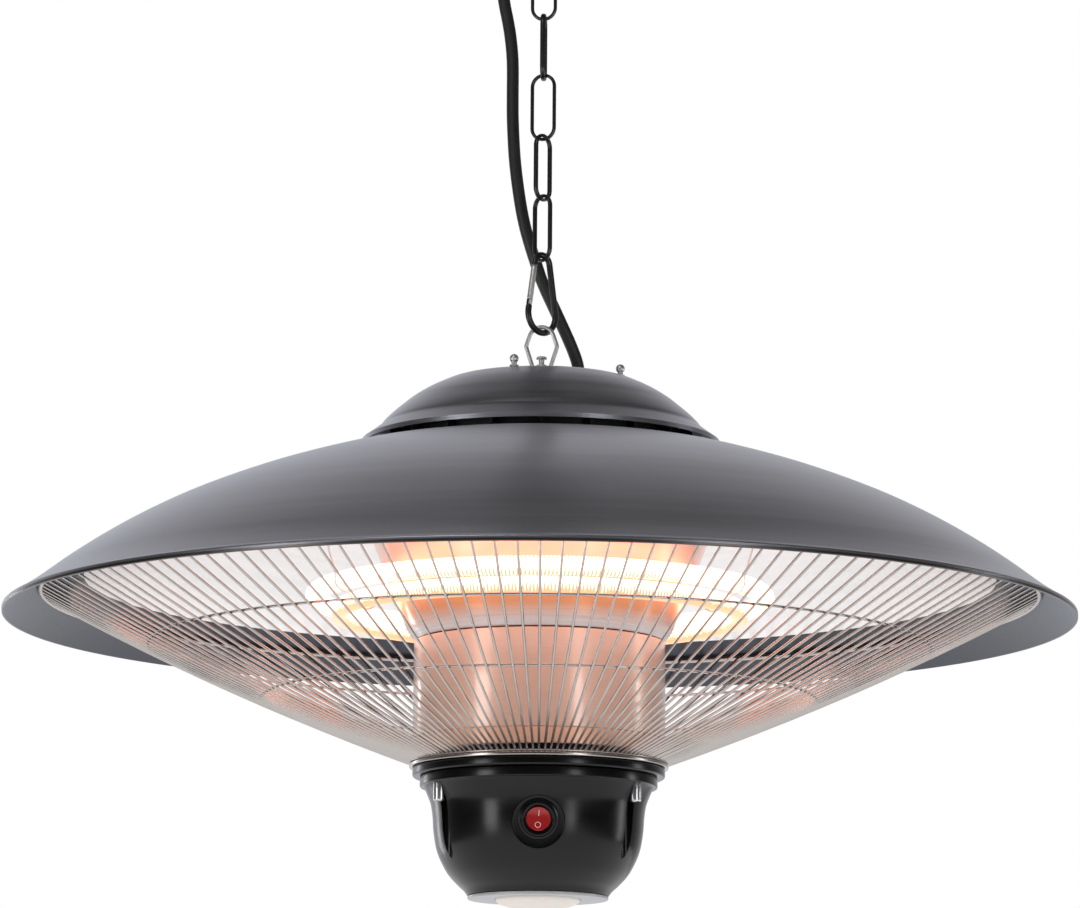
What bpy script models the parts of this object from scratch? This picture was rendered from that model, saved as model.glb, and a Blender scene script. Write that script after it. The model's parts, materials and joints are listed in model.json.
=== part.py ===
"""Hanging electric patio heater: a wide spun shade on a chain, over two ring-shaped heating tubes,
a wire guard and a lower housing with a switch and a lamp.

Metres, +Z up. The origin is the middle of the ceiling plate's flat top face, so everything hangs
below z = 0. The side that faces a viewer is -Y.
"""

import math

import bmesh
import bpy
from mathutils import Matrix, Vector

# Driving sizes, in metres.
GAP = 0.0003                    # between neighbouring pieces
OVERRUN = 0.002                 # how far a cutter runs past what it cuts

PLATE_RADIUS = 0.040            # ceiling plate
PLATE_THICKNESS = 0.004
CANOPY_RADIUS = 0.052
CANOPY_HEIGHT = 0.022
CANOPY_WALL = 0.0016
CANOPY_CORNER = 0.008
HOOK_WIRE = 0.005
HOOK_OPENING = 0.020
HOOK_DROP = 0.0417              # canopy's underside to the hook's seat
GRIP_X = -0.0262                # cord grip in the canopy
GRIP_Y = 0.0200
GRIP_RADIUS = 0.0075
GRIP_LENGTH = 0.016

LINK_COUNT = 5
LINK_INNER_LENGTH = 0.0357
LINK_WIDTH = 0.0154
LINK_THICKNESS = 0.0020         # flattened wire, in the link's plane
LINK_DEPTH = 0.0030             # across the link's plane
LINK_YAWS_DEG = (-12, 85, -20, 54, -50)

SNAP_LENGTH = 0.0488            # snap hook, outside
SNAP_TOP_RADIUS = 0.0078
SNAP_BOTTOM_RADIUS = 0.0127
SNAP_WIRE = 0.0036
SNAP_YAW_DEG = 45
GATE_ROD = 0.0034
GATE_TONGUE = 0.0013            # body's flattened end inside the gate's slot
GATE_PIN_DROP = 0.0022          # pin above the body's shoulder
GATE_PIN_RADIUS = 0.0006
GATE_END_CLEARANCE = 0.0005

BAIL_WIRE = 0.0024
BAIL_HEIGHT = 0.0231            # pivot to the top bow's inside
BAIL_BOW_RADIUS = 0.0070
BAIL_KINK_HALF_WIDTH = 0.0089   # where each leg bends inwards
BAIL_KINK_HEIGHT = 0.0130       # above the pivot
BAIL_YAW_DEG = 0
BOLT_RADIUS = 0.0032            # hanger bolt's collar, which the bail's ends turn in
BOLT_EYE_RISE = 0.0037          # pivot above the cap's top
BOLT_COLLAR_HEIGHT = 0.0060
BOLT_NECK_RADIUS = 0.0016
BOLT_HEAD_RADIUS = 0.0033
BOLT_HEAD_RISE = 0.0113         # top of the head above the cap's top
BOLT_SHANK_RADIUS = 0.0040

CAP_RADIUS = 0.1017
CAP_HEIGHT = 0.0415
CAP_WALL = 0.0012
CAP_LIP = 0.0020
CAP_PROFILE_SHARES = (          # radius and height shares of the dome, then of the brim's edge
    (0.0, 1.0), (0.295, 0.972), (0.49, 0.912), (0.587, 0.827), (0.695, 0.684),
    (0.778, 0.533), (0.852, 0.376), (0.900, 0.243),
)
STUD_CIRCLE = 0.0472            # shouldered studs with ball heads hold the cap
STUD_COUNT = 4
STUD_FIRST_DEG = -19
STUD_HEAD_RADIUS = 0.00255
STUD_STEM_RADIUS = 0.00155
STUD_RISE = 0.0072              # top of a head above the cap
STUD_BODY_RADIUS = 0.0035       # below the cap
GLAND_X = 0.0215
GLAND_Y = 0.0345
GLAND_FLANGE_RADIUS = 0.0070
GLAND_FLANGE_HEIGHT = 0.0030
GLAND_LENGTH = 0.022
GLAND_RISE = 0.0112             # its tip above the cap
CORD_RADIUS = 0.0035
CORD_INSIDE = 0.006             # how far the cord runs on inside the cap and the canopy

VENT_GAP = 0.0015               # cap's lip above the shade's top
VENT_RING_RADIUS = 0.0820
VENT_RING_WALL = 0.0020
VENT_FIN_COUNT = 20
VENT_FIN_RADIUS = 0.0895
VENT_FIN_THICKNESS = 0.0014
VENT_RING_HEIGHT = 0.0080

RIM_RADIUS = 0.3025             # the shade
RIM_LIP = 0.0033
SHADE_HEIGHT = 0.0985
SHADE_WALL = 0.0012
SHADE_SHOULDER_RADIUS = 0.0850
SHADE_HOLE_RADIUS = 0.0300
SHADE_PROFILE_SHARES = (        # radius and height shares from the shoulder to the lip
    (0.281, 1.0), (0.36, 0.962), (0.430, 0.912), (0.551, 0.795), (0.666, 0.655),
    (0.752, 0.526), (0.826, 0.394), (0.891, 0.261), (0.954, 0.117), (0.996, 0.0335),
)

REFLECTOR_INSET = 0.0455        # its edge inside the shade's rim
REFLECTOR_EDGE_HEIGHT = 0.0225
REFLECTOR_PLATE_HEIGHT = 0.0770
REFLECTOR_WALL = 0.0008
REFLECTOR_PLATE_MARGIN = 0.0020 # flat plate beyond the cone's top
REFLECTOR_PROFILE_SHARES = (    # shares of the way out from the plate, and of its rise
    (0.0, 1.0), (0.145, 0.94), (0.35, 0.78), (0.573, 0.55), (0.795, 0.27), (1.0, 0.0),
)
CONE_TOP_RADIUS = 0.1080        # polished column cone
CONE_SEAM_HEIGHT = -0.0114
CONE_PROFILE_SHARES = (         # shares of the top radius, and of the cone's height
    (1.0, 1.0), (0.866, 0.61), (0.708, 0.108), (0.68, 0.05), (0.648, 0.0),
)
COLUMN_RADIUS = 0.0710
COLUMN_WALL = 0.0010
COLUMN_SEAM = 0.0008
COLUMN_LENGTH = 0.0550
BAND_LENGTH = 0.0090
NECK_RADIUS = 0.0695
NECK_WALL = 0.0020
ROD_RADIUS = 0.0060             # tie rod inside the column
ROD_FLANGE_RADIUS = 0.0110
ROD_FLANGE_THICKNESS = 0.0020

TUBE_RADIUS = 0.0053            # heating tubes
TUBE_SIDES = 6
TUBE_STEPS = 36
UPPER_RING_RADIUS = 0.1270
UPPER_RING_HEIGHT = 0.0135
LOWER_RING_RADIUS = 0.1130
LOWER_RING_HEIGHT = 0.0045
SOCKET_WIDTH = 0.0240
SOCKET_HEIGHT = 0.0160
STRAP_THICKNESS = 0.0015
STRAP_WIDTH = 0.0160
STRAP_FOOT = 0.0120
CLIP_WIRE = 0.0012
CLIP_TOP_RADIUS = 0.1500
CLIP_ANGLES_DEG = (-58, 58)

WIRE_COUNT = 140                # wire guard
WIRE_SIZE = 0.0015
GUARD_RIM_INSET = 0.0215        # its middle inside the shade's rim
GUARD_RIM_WIRE = 0.0028
GUARD_BEND_RADIUS = 0.1840      # where the end tangents of a wire meet
GUARD_BEND_HEIGHT = -0.0385
RING_WIRE = 0.0015
RING_RADII = (0.2200, 0.1565)
HUB_RADIUS = 0.0736
HUB_WALL = 0.0026
HUB_HEIGHT = 0.0020
COLLAR_RADIUS = 0.0729
COLLAR_HEIGHT = 0.0020

FLANGE_RADIUS = 0.0710          # lower housing
FLANGE_TOP_HEIGHT = -0.0836
FLANGE_THICKNESS = 0.0048
FLANGE_EDGE = 0.0010
BOWL_RADIUS = 0.0668            # its upright top ring
BOWL_HEIGHT = 0.0663
BOWL_RING_SHARE = 0.083         # top ring's share of the height
BOWL_PROFILE_SHARES = (         # radius shares, and how far down the bowl, below the ring
    (0.967, 0.083), (0.955, 0.103), (0.904, 0.235), (0.882, 0.447), (0.863, 0.574),
    (0.801, 0.741), (0.752, 0.824), (0.677, 0.907), (0.622, 0.958), (0.591, 1.0),
)
BOWL_CAVITY_SHARES = (          # radius shares, and how far up the bowl, of its inside
    (0.53, 0.0), (0.53, 0.06), (0.682, 0.28), (0.793, 0.46), (0.793, 1.0),
)
BARREL_RADIUS = 0.0034
BARREL_LENGTH = 0.0102
BARREL_INSET = 0.0040           # its middle inside the top ring's face
BARREL_FIRST_DEG = -61.3
BARREL_COUNT = 3
BARREL_SHANK_RADIUS = 0.0016
SLOT_CLEARANCE = 0.0003         # beside a barrel, in the slot that runs down from it
SLOT_BACK_SHARE = 0.813         # radius share of the slot's rounded back
SLOT_DEPTH_SHARE = 0.80         # how far down the bowl its cutter goes
LENS_RING_HEIGHT = 0.0016
LENS_SPIGOT_HEIGHT = 0.0040     # ring's neck inside the bowl's mouth
LENS_RADIUS = 0.0237
LENS_BULGE = 0.0059
LENS_FLANGE_RADIUS = 0.0270
LENS_FLANGE_THICKNESS = 0.0015
LED_BOARD_THICKNESS = 0.0016

SWITCH_DROP = 0.0282            # switch's middle below the bowl's top
SWITCH_TILT_DEG = 9             # it faces a little downwards
SWITCH_RECESS_RADIUS = 0.0148
SWITCH_RECESS_DROP = 0.0013     # recess's middle below the switch's
SWITCH_FLOOR_SHARE = 0.816      # floor's distance from the heater's axis, as a share of the bowl's radius
BEZEL_RADIUS = 0.0115
BEZEL_THICKNESS = 0.0022
BEZEL_LIP_RADIUS = 0.0096
SWITCH_BODY_RADIUS = 0.0097
SWITCH_BODY_LENGTH = 0.0150
ROCKER_RADIUS = 0.00665
ROCKER_WELL_RADIUS = 0.0075
ROCKER_FRONT = 0.0020           # rocker's edge ahead of its axis
ROCKER_BACK = 0.0030
ROCKER_WELL_DEPTH = 0.0046
ROCKER_AXIS_DEPTH = 0.0010      # axis behind the bezel's face
ROCKER_HOLLOW_RADIUS = 0.0220
ROCKER_TILT_DEG = -7

# Radii and heights that follow from the sizes, the heights from top to bottom.
REFLECTOR_RADIUS = RIM_RADIUS - REFLECTOR_INSET
GUARD_RIM_RADIUS = RIM_RADIUS - GUARD_RIM_INSET
BARREL_CIRCLE = BOWL_RADIUS - BARREL_INSET
LENS_RING_RADIUS = BOWL_RADIUS * BOWL_PROFILE_SHARES[-1][0]
BOWL_MOUTH_RADIUS = BOWL_RADIUS * BOWL_CAVITY_SHARES[0][0]
HOOK_SEAT_Z = -(CANOPY_HEIGHT + HOOK_DROP)
LINK_STEP = LINK_INNER_LENGTH - GAP
SNAP_TOP_Z = HOOK_SEAT_Z + GAP - LINK_COUNT * LINK_STEP
SNAP_BOTTOM_Z = SNAP_TOP_Z - (SNAP_LENGTH - 2 * SNAP_WIRE)
BAIL_TOP_Z = SNAP_BOTTOM_Z + GAP
PIVOT_Z = BAIL_TOP_Z - BAIL_HEIGHT
CAP_TOP_Z = PIVOT_Z - BOLT_EYE_RISE
CAP_LIP_Z = CAP_TOP_Z - CAP_HEIGHT
SHADE_TOP_Z = CAP_LIP_Z - VENT_GAP
RIM_Z = SHADE_TOP_Z - SHADE_HEIGHT
FLANGE_TOP_Z = RIM_Z + FLANGE_TOP_HEIGHT
BOWL_TOP_Z = FLANGE_TOP_Z - FLANGE_THICKNESS - GAP
BOWL_BOTTOM_Z = BOWL_TOP_Z - BOWL_HEIGHT
LENS_RING_Z = BOWL_BOTTOM_Z - GAP
BOWL_RING_Z = BOWL_TOP_Z - BOWL_HEIGHT * BOWL_RING_SHARE
SWITCH_Z = BOWL_TOP_Z - SWITCH_DROP
SWITCH_FACE_TURN = math.radians(90 + SWITCH_TILT_DEG)

# The lead's middle line between the two grips, in metres: hand-chosen points of its route.
CORD_ROUTE = (
    (-0.0245, 0.0200, -0.0700), (-0.0231, 0.0200, -0.0843), (-0.0197, 0.0200, -0.1023),
    (-0.0179, 0.0200, -0.1196), (-0.0177, 0.0195, -0.1412), (-0.0175, 0.0190, -0.1557),
    (-0.0163, 0.0185, -0.1771), (-0.0141, 0.0185, -0.1958), (-0.0112, 0.0190, -0.2128),
    (-0.0076, 0.0200, -0.2267), (-0.0026, 0.0215, -0.2420), (0.0009, 0.0228, -0.2516),
    (0.0080, 0.0258, -0.2665), (0.0151, 0.0297, -0.2813), (0.0186, 0.0321, -0.2893),
    (0.0206, 0.0336, -0.2950),
)

BIG_STEPS = 40                  # facets round a large, a middling and a small turned piece
MID_STEPS = 28
SMALL_STEPS = 16


def clear_scene():
    for obj in list(bpy.data.objects):
        bpy.data.objects.remove(obj, do_unlink=True)


def material(name, colour, roughness, metallic, emission=0.0):
    made = bpy.data.materials.new(name)
    made.use_nodes = True
    shader = made.node_tree.nodes["Principled BSDF"]
    shader.inputs["Base Color"].default_value = (*colour, 1.0)
    shader.inputs["Roughness"].default_value = roughness
    shader.inputs["Metallic"].default_value = metallic
    shader.inputs["Emission Color"].default_value = (*colour, 1.0)
    shader.inputs["Emission Strength"].default_value = emission
    return made


def place(name, bm, mat, location=(0, 0, 0), yaw=0.0, sharp_deg=35):
    """A named, smooth-shaded object from a bmesh, which is freed."""
    bmesh.ops.recalc_face_normals(bm, faces=bm.faces)
    mesh = bpy.data.meshes.new(name)
    bm.to_mesh(mesh)
    bm.free()
    mesh.shade_smooth()
    mesh.set_sharp_from_angle(angle=math.radians(sharp_deg))
    obj = bpy.data.objects.new(name, mesh)
    obj.data.materials.append(mat)
    obj.location = location
    obj.rotation_euler = (0, 0, yaw)
    bpy.context.scene.collection.objects.link(obj)
    return obj


def cutter(name, bm, location=(0, 0, 0), yaw=0.0):
    """A hidden guide object that only Booleans use."""
    obj = place(name, bm, bpy.data.materials[0], location, yaw)
    obj.hide_render = True
    obj.display_type = "WIRE"
    return obj


def cut(obj, tool, operation="DIFFERENCE"):
    boolean = obj.modifiers.new("Cut " + tool.name, "BOOLEAN")
    boolean.operation = operation
    boolean.solver = "EXACT"
    boolean.object = tool


def turned(profile, steps):
    """A closed (radius, height) outline revolved round Z. Points on the axis become one."""
    bm = bmesh.new()
    rings = []
    for radius, height in profile:
        if radius == 0:
            rings.append([bm.verts.new((0, 0, height))] * steps)
            continue
        ring = []
        for i in range(steps):
            angle = math.tau * i / steps
            ring.append(bm.verts.new((radius * math.cos(angle), radius * math.sin(angle), height)))
        rings.append(ring)
    for lower, upper in zip(rings, rings[1:] + rings[:1]):
        for i in range(steps):
            j = (i + 1) % steps
            corners = []
            for vert in (lower[i], lower[j], upper[j], upper[i]):
                if vert not in corners:
                    corners.append(vert)
            if len(corners) > 2:
                bm.faces.new(corners)
    return bm


def cylinder(radius, low, high, steps=SMALL_STEPS):
    return turned([(0, low), (radius, low), (radius, high), (0, high)], steps)


def swept(path, section, closed=False):
    """A section of (in-plane, across) offsets swept along a path of (x, z) points."""
    bm = bmesh.new()
    rings = []
    count = len(path)
    for i, (x, z) in enumerate(path):
        before = path[i - 1] if i or closed else path[i]
        after = path[(i + 1) % count] if i + 1 < count or closed else path[i]
        along = Vector((after[0] - before[0], after[1] - before[1])).normalized()
        rings.append([
            bm.verts.new((x - along.y * a, across, z + along.x * a)) for a, across in section
        ])
    pairs = list(zip(rings, rings[1:]))
    if closed:
        pairs.append((rings[-1], rings[0]))
    for first, second in pairs:
        for i in range(len(section)):
            j = (i + 1) % len(section)
            bm.faces.new((first[i], first[j], second[j], second[i]))
    if not closed:
        bm.faces.new(rings[0])
        bm.faces.new(rings[-1])
    return bm


def prism(outline, low, high):
    """A closed (x, y) outline raised from one height to another."""
    bm = bmesh.new()
    lower = [bm.verts.new((x, y, low)) for x, y in outline]
    upper = [bm.verts.new((x, y, high)) for x, y in outline]
    bm.faces.new(lower)
    bm.faces.new(upper)
    for i in range(len(outline)):
        j = (i + 1) % len(outline)
        bm.faces.new((lower[i], lower[j], upper[j], upper[i]))
    return bm


def box(size, centre):
    bm = bmesh.new()
    bmesh.ops.create_cube(bm, size=1.0)
    bmesh.ops.scale(bm, vec=size, verts=bm.verts)
    bmesh.ops.translate(bm, vec=centre, verts=bm.verts)
    return bm


def round_section(diameter, sides):
    return oval_section(diameter, diameter, sides)


def oval_section(thickness, depth, sides):
    turns = [math.tau * i / sides for i in range(sides)]
    return [(thickness / 2 * math.cos(turn), depth / 2 * math.sin(turn)) for turn in turns]


def arc(centre, radius, start_deg, end_deg, steps):
    points = []
    for i in range(steps + 1):
        turn = math.radians(start_deg + (end_deg - start_deg) * i / steps)
        points.append((centre[0] + radius * math.cos(turn), centre[1] + radius * math.sin(turn)))
    return points


def smooth(points, steps):
    """A Catmull-Rom curve through points of any dimension, with steps spans between each two."""
    vectors = [Vector(point) for point in points]
    ends = [2 * vectors[0] - vectors[1], *vectors, 2 * vectors[-1] - vectors[-2]]
    curve = []
    for a, b, c, d in zip(ends, ends[1:], ends[2:], ends[3:]):
        for i in range(steps):
            t = i / steps
            curve.append(
                (2 * b + (c - a) * t + (2 * a - 5 * b + 4 * c - d) * t**2
                 + (3 * b - 3 * c + d - a) * t**3) / 2
            )
    return [tuple(point) for point in curve] + [tuple(vectors[-1])]


def offset(points, distance):
    """An open outline moved sideways: a positive distance goes to its left."""
    moved = []
    for i, (r, z) in enumerate(points):
        before = points[max(i - 1, 0)]
        after = points[min(i + 1, len(points) - 1)]
        along = Vector((after[0] - before[0], after[1] - before[1])).normalized()
        moved.append((r - along.y * distance, z + along.x * distance))
    return moved


def inside_of(outline, wall):
    """The inner face of a turned shell, on every second point of its outer one."""
    inner = offset(outline, -wall)
    return [inner[0], *inner[2:-3:2], *inner[-3:]]


def height_at(points, radius):
    """Height of a (radius, height) polyline at a radius, and its slope there."""
    ordered = sorted(points)
    for (r0, z0), (r1, z1) in zip(ordered, ordered[1:]):
        if r0 <= radius <= r1 and r1 > r0:
            slope = (z1 - z0) / (r1 - r0)
            return z0 + slope * (radius - r0), slope
    return ordered[-1][1], 0.0


def at_angle(radius, degrees, z):
    """A point at an angle from the viewer's side, -Y, turning towards +X."""
    turn = math.radians(degrees)
    return (radius * math.sin(turn), -radius * math.cos(turn), z)


# Outlines that several pieces share.


def cap_outline():
    dome = [(r * CAP_RADIUS, CAP_LIP_Z + z * CAP_HEIGHT) for r, z in CAP_PROFILE_SHARES]
    return dome + [(CAP_RADIUS, CAP_LIP_Z + CAP_LIP), (CAP_RADIUS, CAP_LIP_Z)]


def shade_outline():
    points = [(r * RIM_RADIUS, RIM_Z + z * SHADE_HEIGHT) for r, z in SHADE_PROFILE_SHARES]
    points[0] = (SHADE_SHOULDER_RADIUS, SHADE_TOP_Z)
    return points + [(RIM_RADIUS, RIM_Z + RIM_LIP), (RIM_RADIUS, RIM_Z)]


def reflector_outline():
    rise = REFLECTOR_PLATE_HEIGHT - REFLECTOR_EDGE_HEIGHT
    base = RIM_Z + REFLECTOR_EDGE_HEIGHT
    plate = CONE_TOP_RADIUS + REFLECTOR_PLATE_MARGIN
    run = REFLECTOR_RADIUS - plate
    return [(plate + r * run, base + z * rise) for r, z in REFLECTOR_PROFILE_SHARES]


def guard_rim_centre():
    """The channel ring lies against the inside of the shade."""
    inside = inside_of(shade_outline(), SHADE_WALL)
    height, slope = height_at(inside[:-2], GUARD_RIM_RADIUS)
    stand_off = (GUARD_RIM_WIRE / 2 + GAP) * math.hypot(1, slope)
    return (GUARD_RIM_RADIUS, height - stand_off)


def guard_wire_path():
    """Middle line of one guard wire, from the hub out to the channel ring."""
    rim = guard_rim_centre()
    hub_z = FLANGE_TOP_Z + GAP + COLLAR_HEIGHT + GAP + HUB_HEIGHT / 2
    start = Vector((HUB_RADIUS, hub_z))
    bend = Vector((GUARD_BEND_RADIUS, RIM_Z + GUARD_BEND_HEIGHT))
    facet_sag = GUARD_RIM_RADIUS * (1 - math.cos(math.pi / BIG_STEPS))
    end = Vector((rim[0] - GUARD_RIM_WIRE / 2 - WIRE_SIZE / 2 - GAP - facet_sag, rim[1]))
    points = []
    for t in (0, 0.5, 1):
        points.append(tuple((1 - t) ** 2 * start + 2 * t * (1 - t) * bend + t**2 * end))
    return points


def in_switch(bm):
    """Turns a mesh made along +Z to look out of the switch's recess, whose floor's middle is z = 0."""
    floor = (0, -BOWL_RADIUS * SWITCH_FLOOR_SHARE, SWITCH_Z)
    turn = Matrix.Rotation(SWITCH_FACE_TURN, 4, "X")
    bmesh.ops.transform(bm, matrix=Matrix.Translation(floor) @ turn, verts=bm.verts)
    return bm


# Ceiling fitting.


def ceiling_fitting(black, steel):
    place("ceiling_plate", cylinder(PLATE_RADIUS, -PLATE_THICKNESS, 0, MID_STEPS), steel)
    inner = CANOPY_RADIUS - CANOPY_WALL
    corner = CANOPY_CORNER - CANOPY_WALL
    hole = HOOK_WIRE / 2 + GAP
    floor = -CANOPY_HEIGHT
    centre = (CANOPY_RADIUS - CANOPY_CORNER, floor + CANOPY_CORNER)
    outline = [(CANOPY_RADIUS, 0), *arc(centre, CANOPY_CORNER, 0, -90, 3)]
    outline += [(hole, floor), (hole, floor + CANOPY_WALL)]
    outline += [*arc(centre, corner, -90, 0, 3), (inner, 0)]
    canopy = place("ceiling_canopy", turned(outline, MID_STEPS), black)
    reach = CANOPY_HEIGHT / 2
    hole_bm = cylinder(CORD_RADIUS + GAP, -reach, reach)
    cut(canopy, cutter("canopy_cord_hole", hole_bm, (GRIP_X, GRIP_Y, floor)))

    # The hook: a shank, a swing out to one side and a bend under the seat.
    bend = (HOOK_OPENING + HOOK_WIRE) / 2
    pivot = HOOK_SEAT_Z - HOOK_WIRE / 2
    middle = bend
    top = -PLATE_THICKNESS - GAP - pivot
    shoulder = middle + bend * 1.7
    swing = [(0.0, shoulder), (-bend * 0.30, middle + bend * 1.15), (-bend * 0.78, middle + bend * 0.62)]
    path = [(0.0, top)] + smooth(swing + arc((0.0, middle), bend, 180, 382.5, 9), 1)
    made = swept(path, round_section(HOOK_WIRE, 8))
    place("ceiling_hook", made, black, (0, 0, pivot), math.radians(LINK_YAWS_DEG[0] + 90))

    # The grip that holds the lead under the canopy.
    bore = CORD_RADIUS + GAP
    tip = floor - GAP - GRIP_LENGTH
    outline = [(GRIP_RADIUS, floor - GAP), (GRIP_RADIUS, floor - GAP - GRIP_LENGTH * 0.45)]
    outline += [(bore + CANOPY_WALL, tip), (bore, tip), (bore, floor - GAP)]
    place("ceiling_cord_grip", turned(outline, SMALL_STEPS), black, (GRIP_X, GRIP_Y, 0))


# Chain and snap hook.


def chain_links(black):
    radius = (LINK_WIDTH - LINK_THICKNESS) / 2
    section = oval_section(LINK_THICKNESS, LINK_DEPTH, 6)
    for k in range(LINK_COUNT):
        above = HOOK_WIRE if k == 0 else LINK_THICKNESS
        seat = HOOK_SEAT_Z if k == 0 else HOOK_SEAT_Z + GAP - (k - 1) * LINK_STEP - LINK_INNER_LENGTH
        pivot = seat - above / 2
        top = seat + GAP + LINK_THICKNESS / 2 - pivot
        bottom = top - LINK_INNER_LENGTH - LINK_THICKNESS
        path = arc((0.0, top - radius), radius, 0, 180, 8)
        path += arc((0.0, bottom + radius), radius, 180, 360, 8)
        made = swept(path, section, closed=True)
        yaw = math.radians(LINK_YAWS_DEG[k])
        place(f"chain_link_{k}", made, black, (0, 0, pivot), yaw)


def snap_hook(black, silver, steel):
    wire = SNAP_WIRE
    top_r = SNAP_TOP_RADIUS - wire / 2
    low_r = SNAP_BOTTOM_RADIUS - wire / 2
    seat = HOOK_SEAT_Z + GAP - (LINK_COUNT - 1) * LINK_STEP - LINK_INNER_LENGTH
    pivot = seat - LINK_THICKNESS / 2
    top = seat + GAP + wire / 2 - pivot
    top_c = Vector((0.0, top - top_r))
    low_c = Vector((0.0, top - (SNAP_LENGTH - wire) + low_r))
    lean = math.asin((low_r - top_r) / (top_c.y - low_c.y))
    lean_deg = math.degrees(lean)
    # The gate's line touches both circles on the left.
    out = Vector((-math.cos(lean), math.sin(lean)))
    high = top_c + out * top_r
    low = low_c + out * low_r
    run = (high - low).normalized()
    stub = low + run * (wire / 2)
    nose = high - run * (wire / 2)
    pin = stub + run * GATE_PIN_DROP
    tongue_end = pin + run * (GATE_PIN_DROP - GATE_END_CLEARANCE)
    path = [tuple(stub)]
    path += arc(tuple(low_c), low_r, 180 - lean_deg, 360 + lean_deg, 12)
    path += arc(tuple(top_c), top_r, lean_deg, 180 - lean_deg, 8)
    path += [tuple(nose)]
    body = place("snap_body", swept(path, round_section(wire, 8)), black, (0, 0, pivot))
    tongue_bm = swept(
        [tuple(stub - run * wire), tuple(tongue_end)],
        [(s * wire / 2 * 0.8, t * GATE_TONGUE / 2) for s, t in ((-1, -1), (1, -1), (1, 1), (-1, 1))],
    )
    cut(body, cutter("snap_tongue", tongue_bm, (0, 0, pivot)), "UNION")
    pin_bm = cylinder(GATE_PIN_RADIUS + GAP, -wire, wire)
    bmesh.ops.rotate(pin_bm, matrix=Matrix.Rotation(math.pi / 2, 3, "X"), verts=pin_bm.verts)
    bmesh.ops.translate(pin_bm, vec=(pin.x, 0, pin.y), verts=pin_bm.verts)
    pin_hole = cutter("gate_pin_hole", pin_bm, (0, 0, pivot))
    cut(body, pin_hole)

    # The gate is forked round the tongue and stops short of the nose.
    fork = stub + run * GATE_END_CLEARANCE
    tip = nose - run * GATE_END_CLEARANCE
    gate_path = [tuple(fork - pin), tuple(tip - pin)]
    gate_at = (pin.x, 0, pivot + pin.y)
    gate = place("snap_gate", swept(gate_path, round_section(GATE_ROD, 10)), silver, gate_at)
    slot_half = GATE_TONGUE / 2 + GAP
    slot_top = tongue_end + run * GATE_END_CLEARANCE * 2 - pin
    slot_bm = swept(
        [tuple(fork - run * OVERRUN - pin), tuple(slot_top)],
        [(s * GATE_ROD, t * slot_half) for s, t in ((-1, -1), (1, -1), (1, 1), (-1, 1))],
    )
    cut(gate, cutter("gate_slot", slot_bm, gate_at))
    cut(gate, pin_hole)
    rivet_bm = cylinder(GATE_PIN_RADIUS, -GATE_ROD / 2, GATE_ROD / 2, 10)
    bmesh.ops.rotate(rivet_bm, matrix=Matrix.Rotation(math.pi / 2, 3, "X"), verts=rivet_bm.verts)
    place("snap_pin", rivet_bm, steel, gate_at)

    # All of it turns round the chain's line together.
    turn = Matrix.Rotation(math.radians(SNAP_YAW_DEG), 4, "Z")
    for name in ("snap_body", "snap_tongue", "gate_pin_hole", "snap_gate", "gate_slot", "snap_pin"):
        obj = bpy.data.objects[name]
        obj.location = turn @ obj.location
        obj.rotation_euler = (0, 0, math.radians(SNAP_YAW_DEG))


def bail_and_bolt(silver, steel):
    # The wire bail: a round bow, legs with a kink in each and ends turned in towards each other.
    bow_r = BAIL_BOW_RADIUS
    bow_c = Vector((0.0, BAIL_HEIGHT + BAIL_WIRE / 2 - bow_r))
    leg_x = BOLT_RADIUS + BAIL_WIRE / 2 + GAP
    kink = Vector((BAIL_KINK_HALF_WIDTH, BAIL_KINK_HEIGHT))
    reach = (kink - bow_c).length
    angle = math.atan2(kink.y - bow_c.y, kink.x - bow_c.x) + math.acos(bow_r / reach)
    start = math.degrees(angle)
    inner = BOLT_RADIUS - BAIL_WIRE
    right = [(inner, 0.0), (leg_x - BAIL_WIRE / 2, 0.0), (leg_x + BAIL_WIRE * 0.1, BAIL_WIRE * 0.25)]
    right += [(leg_x + BAIL_WIRE * 0.25, BAIL_WIRE * 0.75), tuple(kink)]
    bow = arc(tuple(bow_c), bow_r, start, 180 - start, 12)
    path = right + bow + [(-x, z) for x, z in reversed(right)]
    made = swept(path, round_section(BAIL_WIRE, 8))
    place("hanger_bail", made, silver, (0, 0, PIVOT_Z), math.radians(BAIL_YAW_DEG))

    # The bolt: collar with a cross hole, neck, domed head, and a shank through the cap.
    seat = CAP_TOP_Z + GAP
    head_top = CAP_TOP_Z + BOLT_HEAD_RISE
    head_low = head_top - BOLT_HEAD_RADIUS * 0.6
    collar_top = CAP_TOP_Z + BOLT_COLLAR_HEIGHT
    shank_end = CAP_TOP_Z - CAP_WALL - ROD_FLANGE_THICKNESS
    outline = [(0, shank_end), (BOLT_SHANK_RADIUS - GAP, shank_end), (BOLT_SHANK_RADIUS - GAP, seat)]
    outline += [(BOLT_RADIUS, seat), (BOLT_RADIUS, collar_top), (BOLT_NECK_RADIUS, collar_top)]
    outline += [(BOLT_NECK_RADIUS, head_low), (BOLT_HEAD_RADIUS, head_low)]
    outline += [(BOLT_HEAD_RADIUS * 0.85, head_low + BOLT_HEAD_RADIUS * 0.4), (0, head_top)]
    bolt = place("hanger_bolt", turned(outline, SMALL_STEPS), steel)
    eye = cylinder(BAIL_WIRE / 2 + GAP, -BOLT_RADIUS * 2, BOLT_RADIUS * 2)
    bmesh.ops.rotate(eye, matrix=Matrix.Rotation(math.pi / 2, 3, "Y"), verts=eye.verts)
    cut(bolt, cutter("bolt_eye", eye, (0, 0, PIVOT_Z), math.radians(BAIL_YAW_DEG)))


# Cap, vent and shade.


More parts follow.
